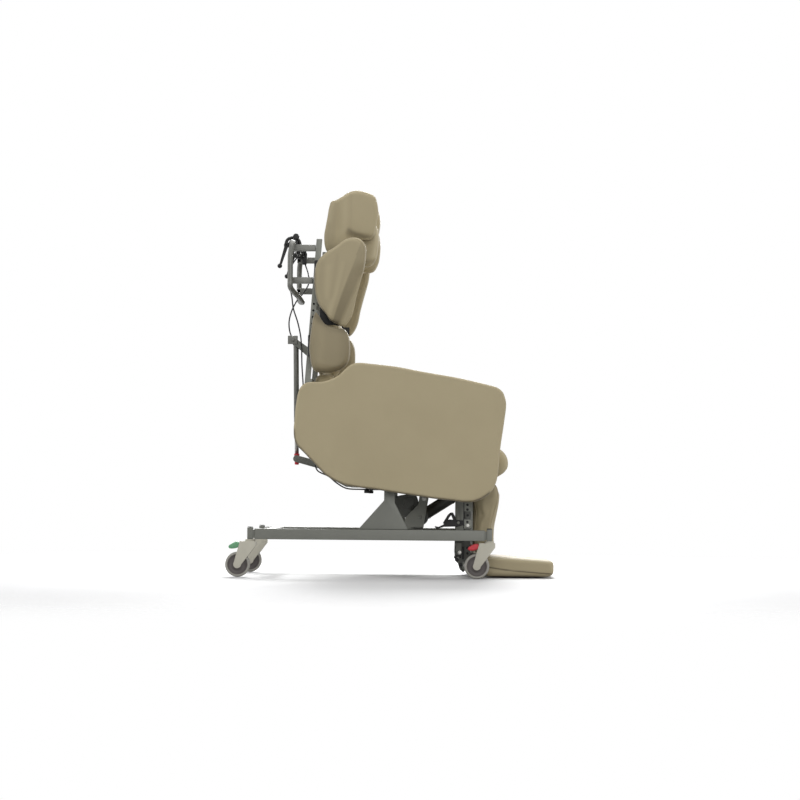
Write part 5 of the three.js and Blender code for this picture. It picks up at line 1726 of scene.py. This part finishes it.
@dataclass
class HeadSupport:
    """Head post and the two pairs of wings beside the head cushion."""

    shop: Workshop

    def build(self) -> None:
        """Makes the head support."""
        self.shop.rounded("head_post", self.shop.finishes.frame, Slot.FRAME, 1.2)
        pads = (SidePad("head", HEAD_WING_SHARES, (-518.3, -340.2, 1090.5, 1297), 171.8, 27.5,
                        self._head_relief, HEAD_PAINTED_SHADING),
                SidePad("shoulder", SHOULDER_WING_SHARES, (-468, -338, 1046, 1215), 111.7, 24, None,
                        SHOULDER_PAINTED_SHADING))
        for side in Side:
            for pad in pads:
                self._pad(pad, side)

    def _pad(self, pad: SidePad, side: Side) -> None:
        """One wing.

        Args:
            pad: Its form.
            side: Its side of the chair.
        """
        seams = (Seam(pad.half - 5, 1.1, 0.9, 2.2),)
        edge = Edge(pad.half, 17, crown=1.5, belly=1.5, reach=20, step=1.8, seams=seams)
        ring = share_loop(pad.shares, pad.box, 220)
        grid = slab_grid(ring, edge, side.value * pad.middle, relief=pad.relief)
        wing = piece_from_grid(f"{pad.name}_wing_pad_{side.word}", grid)
        # Painted shade and highlights along the wing's creases and edges, with a little painted shade over
        # the whole wing.
        tone_piece(wing, pad.folds, 0.02, pad.middle)
        self.shop.place(wing, self.shop.finishes.cloth, Slot.UPHOLSTERY, f"{pad.name}_wing_{side.word}")

    @staticmethod
    def _head_relief(x: Array, z: Array) -> Array:
        """The head wing's two upright creases and the crease along its lower edge.

        Args:
            x: Places along the chair.
            z: Heights.

        Returns:
            The depths.
        """
        front = crease((-423, 1330), (-427, 1140), 0.2)(x, z)
        rear = crease((-480, 1060), (-470, 1300), 0.55)(x, z)
        low = crease((-340, 1150), (-440, 1154), 0.8, 20)(x, z) * np.clip((x + 450.0) / 30.0, 0.0, 1.0)
        return front + rear + low


CABLES: dict[str, list[Place]] = {
    "lever_cable_right": [
        (-609.8, -184, 1106.5), (-605.1, -184, 1102.8), (-604, -184, 1080), (-626, -182, 1045),
        (-634, -172, 1010), (-634, -150, 972), (-630, -112, 940), (-627, -70, 905), (-614, -36, 862),
        (-604, -26, 815), (-600, -30, 770), (-598, -40, 720), (-592, -62, 650), (-588, -92, 580),
        (-584, -112, 520), (-581, -120, 480), (-568, -122, 452), (-536, -122, 438), (-506, -122, 424)],
    "lever_cable_left": [
        (-609.8, 184, 1106.5), (-605.1, 184, 1102.8), (-602, 183, 1082), (-590, 168, 1045), (-588, 140, 1008),
        (-604, 108, 974), (-624, 78, 945), (-641, 52, 905), (-648, 38, 868), (-645, 32, 836), (-636, 30, 812),
        (-629, 24, 802), (-629, 18.4, 802)],
    "lever_cable_seat": [
        (-504, -122, 411), (-524, -122, 400), (-545, -120, 386), (-538, -116, 356), (-500, -110, 336),
        (-470, -104, 312), (-440, -98, 296), (-390, -92, 293), (-280, -86, 293), (-170, -80, 294),
        (-90, -68, 294), (-42, -44, 298), (-25, -25, 305), (-25, -18.4, 305)]}


@dataclass
class PushHandle:
    """Push handle with its clamps, release levers and cables."""

    shop: Workshop
    half: float = 270.0
    x: float = -627.0
    side_low: float = 980.0
    top: float = 1116.0
    corner: float = 36.0
    bottom_x: float = -603.0
    bottom_z: float = 936.0
    tube: float = 9.0
    stubs: Pair = (1088.0, 979.0)
    stub_y: float = 215.0
    clamp_y: float = 178.0
    lever_y: Pair = (190.0, 196.0)
    ear: Pair = (-646.0, 1111.0)
    tip: Pair = (-667.0, 1040.0)
    ball: float = 8.0
    loop: Pairs = (
        (-645, 1108), (-647, 1121), (-640, 1132), (-624, 1137), (-608, 1131), (-601, 1117), (-602, 1102))
    sheath: float = 2.4

    def build(self) -> None:
        """Makes the handle."""
        parts = [piece_from_grid("tube", tube_grid(smooth_line(points, count), self.tube, 28))
                 for points, count in ((self._upper(), 160), (self._lower(), 120))]
        for side in Side:
            middle, rear = side.value * self.stub_y, self.x - self.tube / 2
            for z in self.stubs:
                front = float(upright_x(z)) - 9.3
                parts.append(box_part((rear, middle - 10, z), (front, middle + 10, z + 21), 1.8))
                parts.append(box_part((rear, middle - 10 * side.value, z + 3),
                                      (self.x + self.tube, side.value * self.half, z + 18), 1.8))
        self.shop.join("push_bar", parts, self.shop.finishes.handle, Slot.HANDLE, "push_handle")
        for side in Side:
            self._clamp(side)
            self._lever(side)
        self._cables()

    def _upper(self) -> list[Place]:
        """Points of the upper bow, from the right to the left."""
        x, half, top, corner, low = self.x, self.half, self.top, self.corner, self.side_low
        near = [(x, -half, low - 15), (x, -half, low + 20), (x, -half, top - corner - 12),
                (x + 1, -half + 3, top - corner), (x + 4, -half + corner / 3, top - corner / 3),
                (x + 5, -half + corner, top), (x + 5, -half + corner + 14, top), (x + 5, -half / 2, top)]
        return near + [(px, -py, pz) for px, py, pz in near[::-1]]

    def _lower(self) -> list[Place]:
        """Points of the lower bow, from the right to the left."""
        x, half, low = self.x, self.half, self.side_low
        near = [(x, -half, low), (x, -half + 1, low - 14), (x + 6, -half * 0.86, low - 26),
                (self.bottom_x - 6, -half * 0.5, self.bottom_z + 8)]
        return near + [(self.bottom_x, 0, self.bottom_z)] + [(px, -py, pz) for px, py, pz in near[::-1]]

    def _clamp(self, side: Side) -> None:
        """The lever's clamp on the bar, with its screw knob, cable loop, adjuster and boss.

        Args:
            side: Its side of the chair.
        """
        y = side.value * self.clamp_y
        ring = mirrored(((9.4, -10.2), (10.4, -11), (14.6, -11), (16, -9.6)), closed=True)
        knob = mirrored(((0, -9.4), (8.8, -9.4), (10.4, -7.8)))
        boss = [(radius, side.value * along) for radius, along in ((0, 0), (4, 0), (4, 17), (3, 18), (0, 18))]
        loop = smooth_line([(x, y, z) for x, z in self.loop], 60)
        parts = [turned_part(ring, (self.x + 5, y, self.top), 48, 0), turned_part(knob, (-614, y, 1140), 40),
                 piece_from_grid("loop", tube_grid(loop, 5.4, 18, (0, 1, 0))),
                 box_part((-652, y - 8, 1104), (self.x - 4, y + 8, 1120), 2.4),
                 box_part((-612, y - 6, 1080), (-597, y + 6, 1104), 3.0),
                 turned_part(boss, (self.ear[0], y, self.ear[1]), 32)]
        self.shop.join(f"bar_clamp_{side.word}", parts, self.shop.finishes.black, Slot.BLACK,
                       f"lever_clamp_{side.word}")

    def _lever(self, side: Side) -> None:
        """The release lever with its ball.

        Args:
            side: Its side of the chair.
        """
        y = side.value * sum(self.lever_y) / 2
        (ear_x, ear_z), (tip_x, tip_z) = self.ear, self.tip
        corners = [(ear_x - 8, ear_z + 2), (ear_x - 6.5, ear_z - 6), (tip_x - 3, tip_z),
                   (tip_x + 4, tip_z - 1), (ear_x + 6.5, ear_z - 6), (ear_x + 8, ear_z + 2),
                   (ear_x + 4, ear_z + 8), (ear_x - 4, ear_z + 8)]
        blade = flat_part(corners, 4, Edge(3, 1.6, reach=0.8, step=0.5), y)
        angle = np.linspace(-math.pi / 2, math.pi / 2, 25)
        profile = self.ball * np.column_stack([np.cos(angle), np.sin(angle)])
        parts = [blade, turned_part(profile, (tip_x, y, tip_z), 48, 0)]
        self.shop.join(f"squeeze_lever_{side.word}", parts, self.shop.finishes.black, Slot.BLACK,
                       f"release_lever_{side.word}")

    def _cables(self) -> None:
        """The three cables, each fixed at both ends."""
        for name, points in CABLES.items():
            line = smooth_line(points, 150)
            cable = piece_from_grid(f"{name}_sheath", tube_grid(line, self.sheath, 14, (0.31, 0.17, 0.94)))
            self.shop.place(cable, self.shop.finishes.cable, Slot.CABLE, name)


@dataclass
class ReclineStrut:
    """Locking gas strut behind the back: sleeve, rod, eyes and red tip."""

    shop: Workshop
    foot: Place = (-614.0, 0.0, 396.0)
    head: Place = (-630.0, 0.0, 802.0)
    lean: float = -7.0 / 406.0
    eye: Pairs = ((8.6, -9.4), (9.2, -10), (11.2, -10), (12, -9.2))
    sleeve: Pairs = (
        (520, 7.9), (520.3, 8.6), (521.5, 9), (534, 9), (534.4, 8.6), (535.4, 8.6), (536, 9), (700, 9),
        (780, 9), (790, 9), (796, 8))
    rod: Pairs = ((408, 7.2), (640, 7.2), (650, 7.0))
    collar: Pairs = ((406, 7), (406.6, 9.2), (413, 9.2), (413.6, 7.3))
    tip: Pairs = ((375.6, 4), (376.4, 6.4), (378, 7.3), (388, 7.3))

    def build(self) -> None:
        """Makes the strut."""
        finish = self.shop.finishes
        eye = mirrored(self.eye, closed=True)
        parts = [self._tube(self.sleeve, self.lean), turned_part(eye, self.head, 48),
                 box_part((-632, -4.4, 786), (-612.5, 4.4, 800), 1.5)]
        self.shop.join("strut_sleeve", parts, finish.handle, Slot.HANDLE, "recline_strut_sleeve")
        parts = [self._tube(self.rod, self.lean)]
        self.shop.join("strut_rod", parts, finish.steel, Slot.HANDLE, "recline_strut_rod")
        parts = [turned_part(eye, self.foot, 48), self._tube(self.tip, 0.0),
                 self._tube(self.collar, self.lean)]
        self.shop.join("strut_valve_end", parts, finish.red, Slot.RED, body="recline_strut_rod")
        parts = [box_part((-648, -23, 788), (-614, -18.6, 817), 3.5), hex_bolt((-630, -23, 802), -1, 11, 3.4)]
        self.shop.join("strut_head_fitting", parts, finish.handle, Slot.HANDLE, body="back")

    def _tube(self, stations: Sequence[Pair], lean: float) -> Piece:
        """A round piece above or below the foot.

        Args:
            stations: (z, radius) pairs.
            lean: How far x moves for each millimetre of z.

        Returns:
            The piece.
        """
        pairs = np.array(stations, dtype=float)
        line = np.array(self.foot) + (pairs[:, :1] - self.foot[2]) * np.array([lean, 0.0, 1.0])
        return piece_from_grid("tube", tube_grid(line, pairs[:, 1], 36, (0, 1, 0)))


FOOT_SHARES = (
    (0.0, 0.9), (0.0, 0.3), (0.03, 0.06), (0.1, 0.0), (0.3, 0.0), (0.6, 0.0), (0.88, 0.0), (0.97, 0.08),
    (1.0, 0.28), (1.0, 0.55), (0.985, 0.74), (0.95, 0.8), (0.5, 0.92), (0.05, 1.0))


@dataclass
class LegRest:
    """Leg rest: hanger frame, sliding frame, footplate, release lever and their bolts and locks."""

    shop: Workshop
    lever_arms: tuple[Pairs, ...] = (
        ((-114, 181), (-96, 211), (-86, 219), (-83, 212), (-92, 200), (-97, 190), (-98, 181)),
        ((-87, 218), (-79, 218), (-72, 205), (-66, 188), (-77, 188), (-80, 196), (-86, 210)),
        ((-108, 178), (-104, 190), (-92, 195), (-76, 194), (-66, 190), (-68, 178)))
    lever_y: float = -191.7
    foot_box: Box = (27.0, 259.0, 6.0, 70.0)
    foot_hub: Pair = (140.0, 36.0)
    foot_edge: Edge = Edge(170, 17, belly=1.5, reach=4, step=1.4, seams=(Seam(151, 1.2, 1.0, 2.2),))
    # Lines in the side view: the crease along the board, painted in shade, and the upper edge, painted as a
    # highlight.
    board: Pairs = ((27, 38), (73, 31), (130, 24), (186, 19.5), (259, 14.5))
    board_top: Pairs = ((27, 69), (143, 65.5), (250, 58))
    collar: float = 187.5
    outer_tube: float = 185.0
    plate: float = 180.0
    lock_thick: float = 4.0

    def build(self) -> None:
        """Makes the leg rest."""
        finish = self.shop.finishes
        self.shop.rounded("leg_frame", finish.frame, Slot.FRAME, 1.4)
        self.shop.rounded("leg_slide", finish.bracket, Slot.BRACKET, 1.4)
        self.shop.rounded("leg_release_lever", finish.black, Slot.BLACK, 1.2)
        edge = Edge(2.6, 1.2, reach=0.5, step=0.5)
        arch = [flat_part(arm, 2, edge, self.lever_y, 5) for arm in self.lever_arms]
        self.shop.join("leg_lever_arch", arch, finish.black, Slot.BLACK, body="leg_release_lever")
        self._footplate()
        for side in Side:
            self._tube_fittings(side)
            self._angle_lock(side)

    def _footplate(self) -> None:
        """The padded footplate, with a painted dark line of shade along the crease at its board, a face below
        that line painted slightly lighter, and a painted highlight along its upper edge.
        """
        ring = share_loop(FOOT_SHARES, self.foot_box, 240)
        foot = piece_from_grid("foot_pad", slab_grid(ring, self.foot_edge, 0, self.foot_hub))
        # Painted shade in the crease along the board, a slightly lighter painted face below it, a painted
        # highlight along the upper edge, and a little painted shade over the whole pad.
        folds = (Fold(self.board, 2.4, 0.75), Fold(self.board[::-1], 4.0, -0.08, 60.0),
                 Fold(self.board_top, 5.0, -0.45))
        tone_piece(foot, folds, 0.03, 158.0)
        self.shop.place(foot, self.shop.finishes.cloth, Slot.UPHOLSTERY, "footplate")

    def _tube_fittings(self, side: Side) -> None:
        """Bolts, lock holes and the slot on a tube of the leg frame.

        Args:
            side: Its side of the chair.
        """
        finish, way = self.shop.finishes, side.value
        collar = way * self.collar
        bolts = [hex_bolt((-30, collar, 173), way, 9, 3.4), hex_bolt((-56, way * 188.2, 284), way, 9, 3)]
        self.shop.join(f"leg_tube_bolts_{side.word}", bolts, finish.steel, Slot.SHAFT, body="leg_rest")
        holes = [self._disc((-31, collar, z), way, 4.2, 0.8) for z in (244, 228, 187)]
        holes.append(box_part((-44.4, collar, 165), (-41.6, collar + way * 0.8, 252), 0.3))
        self.shop.join(f"leg_lock_holes_{side.word}", holes, finish.black, Slot.BLACK, body="leg_rest")

    def _angle_lock(self, side: Side) -> None:
        """The footplate's angle lock: dark knobs and links, plates and bolts.

        Args:
            side: Its side of the chair.
        """
        finish, way = self.shop.finishes, side.value
        near, far = way * self.plate, way * self.plate + way * self.lock_thick
        dark = [self._disc((-30, way * self.outer_tube, z), way, 4.2, 0.8) for z in (209, 100, 82)]
        dark += [self._disc((-65, far, 60), way, 7, 5), self._disc((-52, near, 44), way, 6, 3),
                 box_part((-48, near, 62), (-42, near + way * 2.4, 104), 1.0),
                 box_part((-70, near, 66), (-50, near + way * 2.0, 76), 1.0)]
        self.shop.join(f"angle_lock_{side.word}", dark, finish.black, Slot.BLACK, body="leg_slide")
        plates = [box_part((-69, near, 88), (-50, far, 116), 2.0),
                  box_part((-66, near, 50), (-57, far, 70), 1.6),
                  box_part((-46, near, 28), (-30, far, 54), 2.0)]
        self.shop.join(f"angle_lock_body_{side.word}", plates, finish.frame, Slot.BRACKET, body="leg_slide")
        bolts = [hex_bolt((30, near, 60), way, 11, 3.6), hex_bolt((-56, far, 84), way, 9, 3.4),
                 hex_bolt((-38, far, 41), way, 7, 2.6)]
        self.shop.join(f"foot_hinge_bolts_{side.word}", bolts, finish.steel, Slot.SHAFT, body="leg_slide")

    @staticmethod
    def _disc(centre: Point, along: int, radius: float, thick: float) -> Piece:
        """A small round plug.

        Args:
            centre: Middle of its foot.
            along: 1 or -1, the way that it stands up along y.
            radius: Its radius.
            thick: Its height.

        Returns:
            The plug.
        """
        rise = along * thick
        profile = ((0, 0), (radius, 0), (radius, rise * 0.7), (radius * 0.8, rise), (0, rise))
        return turned_part(profile, centre, 28, 2)


SEAT_SHARES = (
    (0.0, 0.2), (0.015, 0.1), (0.06, 0.08), (0.25, 0.08), (0.45, 0.08), (0.65, 0.08), (0.78, 0.08),
    (0.862, 0.08), (0.898, 0.05), (0.93, 0.0), (0.972, 0.08), (0.993, 0.22), (1.0, 0.42), (0.993, 0.64),
    (0.965, 0.87), (0.92, 0.985), (0.8, 0.985), (0.68, 0.95), (0.6, 0.945), (0.5, 0.945), (0.4, 0.945),
    (0.32, 0.95), (0.2, 0.965), (0.05, 1.0), (0.01, 0.93), (0.0, 0.6))
LEG_PAD_SHARES = (
    (0, 0.02), (0.08, 0), (0.43, 0), (0.654, 0.005), (0.727, 0.06), (0.736, 0.25), (0.763, 0.38),
    (0.863, 0.55), (0.954, 0.7), (1, 0.85), (0.982, 0.96), (0.891, 1), (0.654, 0.99), (0.472, 0.93),
    (0.344, 0.895), (0.12, 0.88), (0, 0.82), (0, 0.45))


@dataclass
class Cushions:
    """The six cushions that a sitter rests on, swollen by simulation."""

    shop: Workshop
    seat_box: Box = (-474.0, 103.0, 326.0, 455.0)
    calf_box: Box = (-12.7, 77.0, 84.0, 316.0)
    back_gap: float = 15.5
    head_gap: float = 28.0

    def build(self) -> None:
        """Makes the cushions."""
        seat = share_loop(SEAT_SHARES, self.seat_box, 300)
        calf = share_loop(LEG_PAD_SHARES, self.calf_box, 260)
        hip, lumbar, thoracic = (back_ring(self.back_gap, deep, low, top) for deep, low, top in (
            (98, 470, 677), (88, 683, 880), (82, 886, 1042)))
        head = back_ring(self.head_gap, 66, 1098, 1270)
        pads = {
            "seat_cushion": Pad("seat_pad", seat, 248, 24, (-232, 232), 28, 7),
            "hip_cushion": Pad("hip_pad", hip, 224, 22, (-208, 208)),
            "lumbar_cushion": Pad("lumbar_pad", lumbar, 200, 22, (-185, 185)),
            "thoracic_cushion": Pad("thoracic_pad", thoracic, 200, 22, (-185, 185)),
            "head_cushion": Pad("head_pad", head, 84, 16, (-72, 72), 22),
            "leg_pad": Pad("calf_pad", calf, 184, 10, (-172, 172), 18, 3)}
        pieces = Stuffing().fill(list(pads.values()))
        for node, pad in pads.items():
            piece = pieces[pad.name]
            # Painted shade over the whole cushion: more on the calf pad, which lies in the arms' shade, and a
            # little on the others.
            tone_piece(piece, (), 0.15 if node == "leg_pad" else 0.03)
            self.shop.place(piece, self.shop.finishes.cloth, Slot.UPHOLSTERY, node)


def turned_matrix(axes: Array, place: Sequence[float]) -> Matrix:
    """A matrix from three axes and a place.

    Args:
        axes: The object's own axes as the columns of a (3, 3) array.
        place: Its place in metres.

    Returns:
        The matrix.
    """
    world = np.eye(4)
    world[:3, :3] = axes
    world[:3, 3] = place
    return Matrix(world.tolist())


@dataclass(frozen=True)
class SoftBox:
    """A square area light: its place and aim in metres, its width and its power in watts."""

    name: str
    place: Place
    aim: Place
    size: float
    power: float

    def build(self) -> None:
        """Makes the light, which shines along its own -z."""
        data = bpy.data.lights.new(self.name, "AREA")
        data.size = self.size
        data.energy = self.power
        way = np.asarray(self.place) - np.asarray(self.aim)
        way = way / np.linalg.norm(way)
        side = np.cross((0.0, 1.0, 0.0) if abs(way[2]) > 0.9 else (0.0, 0.0, 1.0), way)
        side /= np.linalg.norm(side)
        axes = np.column_stack([side, np.cross(way, side), way])
        add_object(self.name, data).matrix_world = turned_matrix(axes, self.place)


@dataclass
class Studio:
    """Camera, lights, floor and background.

    The camera's focal length and the place of the photograph's vanishing point are in pixels of the
    photograph. The vanishing point is where lines across the chair meet.
    """

    picture: float = 800.0
    focal: float = 2424.0
    vanishing: Pair = (435.0, 498.0)
    roll: float = math.radians(0.5)
    spot: Place = (0.14699, -8.29935, 0.26587)
    sensor: float = 36.0
    sky: Colour = (0.97, 0.985, 1.0)
    sky_strength: float = 0.36
    floor_half: float = 4000.0
    floor_drop: float = 0.2
    floor_fade: Pair = (1.6, 3.4)
    lights: tuple[SoftBox, ...] = (
        SoftBox("rear_light", (0.0, 3.0, 2.3), (0.0, 0.0, 0.45), 1.9, 235.0),
        SoftBox("top_light", (0.0, 0.1, 3.4), (0.0, 0.0, 0.5), 2.4, 60.0),
        SoftBox("front_light", (0.5, -4.4, 1.9), (0.0, 0.0, 0.6), 2.4, 77.0),
        SoftBox("right_light", (3.0, 0.5, 1.5), (0.0, 0.0, 0.6), 1.6, 24.0),
        SoftBox("left_light", (-3.0, -0.4, 1.7), (0.0, 0.0, 0.6), 1.6, 26.0))

    def build(self) -> None:
        """Makes the studio. The strong light stands behind, so that its shadow falls towards the camera."""
        self._camera()
        self._world()
        self._floor()
        for light in self.lights:
            light.build()

    def _camera(self) -> None:
        """The photograph's camera."""
        centre = self.picture / 2
        across, down = self.vanishing
        y_axis = np.array([(across - centre) / self.focal, -(down - centre) / self.focal, -1.0])
        y_axis /= np.linalg.norm(y_axis)
        x_axis = np.array([math.cos(self.roll), -math.sin(self.roll), 0.0])
        x_axis -= x_axis.dot(y_axis) * y_axis
        x_axis /= np.linalg.norm(x_axis)
        rows = np.column_stack([x_axis, y_axis, np.cross(x_axis, y_axis)])
        data = bpy.data.cameras.new("camera")
        data.sensor_width = self.sensor
        data.lens = self.sensor * self.focal / self.picture
        camera = add_object("camera", data)
        camera.matrix_world = turned_matrix(rows.T, self.spot)
        bpy.context.scene.camera = camera

    def _world(self) -> None:
        """White for the camera and for reflections, and a soft pale light elsewhere."""
        world = bpy.data.worlds.new("studio")
        graph = Graph(world)
        rays = graph.node("ShaderNodeLightPath", {}, {}).outputs
        seen = Value(graph, rays["Is Camera Ray"])
        for kind in ("Is Glossy Ray", "Is Transmission Ray"):
            seen = seen.maths("MAXIMUM", seen, Value(graph, rays[kind]))
        shown = graph.node("ShaderNodeBackground", {}, {"Color": (1.0, 1.0, 1.0, 1.0)})
        sky = {"Color": (*self.sky, 1.0), "Strength": self.sky_strength}
        light = graph.node("ShaderNodeBackground", {}, sky)
        mix = graph.node("ShaderNodeMixShader", {}, {0: seen, 1: light.outputs[0], 2: shown.outputs[0]})
        graph.node("ShaderNodeOutputWorld", {}, {0: mix.outputs[0]})
        bpy.context.scene.world = world
        bpy.context.scene.view_settings.view_transform = "Standard"

    def _floor(self) -> None:
        """A pale floor that fades into the white background."""
        graph = SurfaceGraph("floor_pale")
        far = graph.number("ShaderNodeVectorMath", {"operation": "LENGTH"}, {0: graph.place}, "Value")
        colour = graph.blend(graph.noise(400.0), (0.5, 0.5, 0.503), (0.52, 0.52, 0.523))
        graph.finish(Base_Color=colour, Roughness=0.7, Alpha=1.0 - far.between(*self.floor_fade))
        count = 33
        axis = np.linspace(-self.floor_half, self.floor_half, count)
        x, y = np.meshgrid(axis, axis)
        points = np.stack([x, y, np.full_like(x, -self.floor_drop)], axis=-1).reshape(-1, 3) * MM
        index = np.arange(count * count).reshape(count, count)
        corners = [index[:-1, :-1], index[:-1, 1:], index[1:, 1:], index[1:, :-1]]
        mesh = bpy.data.meshes.new("floor")
        mesh.from_pydata(points.tolist(), [], np.stack(corners, axis=-1).reshape(-1, 4).tolist())
        mesh.materials.append(graph.material)
        floor = add_object("floor", mesh)


def main() -> None:
    """Builds the scene."""
    logging.basicConfig(level=logging.INFO, format="%(message)s")
    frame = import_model()
    Studio().build()
    shop = Workshop(frame, Finishes())
    PushHandle(shop).build()
    Base(shop).build()
    for end in End:
        for side in Side:
            Castor(shop, end, side).build()
    for part in (TiltSpring, Seat, Arms, Back, HeadSupport, ReclineStrut, LegRest, Cushions):
        part(shop).build()
    shop.dress_rest()


if __name__ == "__main__":
    main()
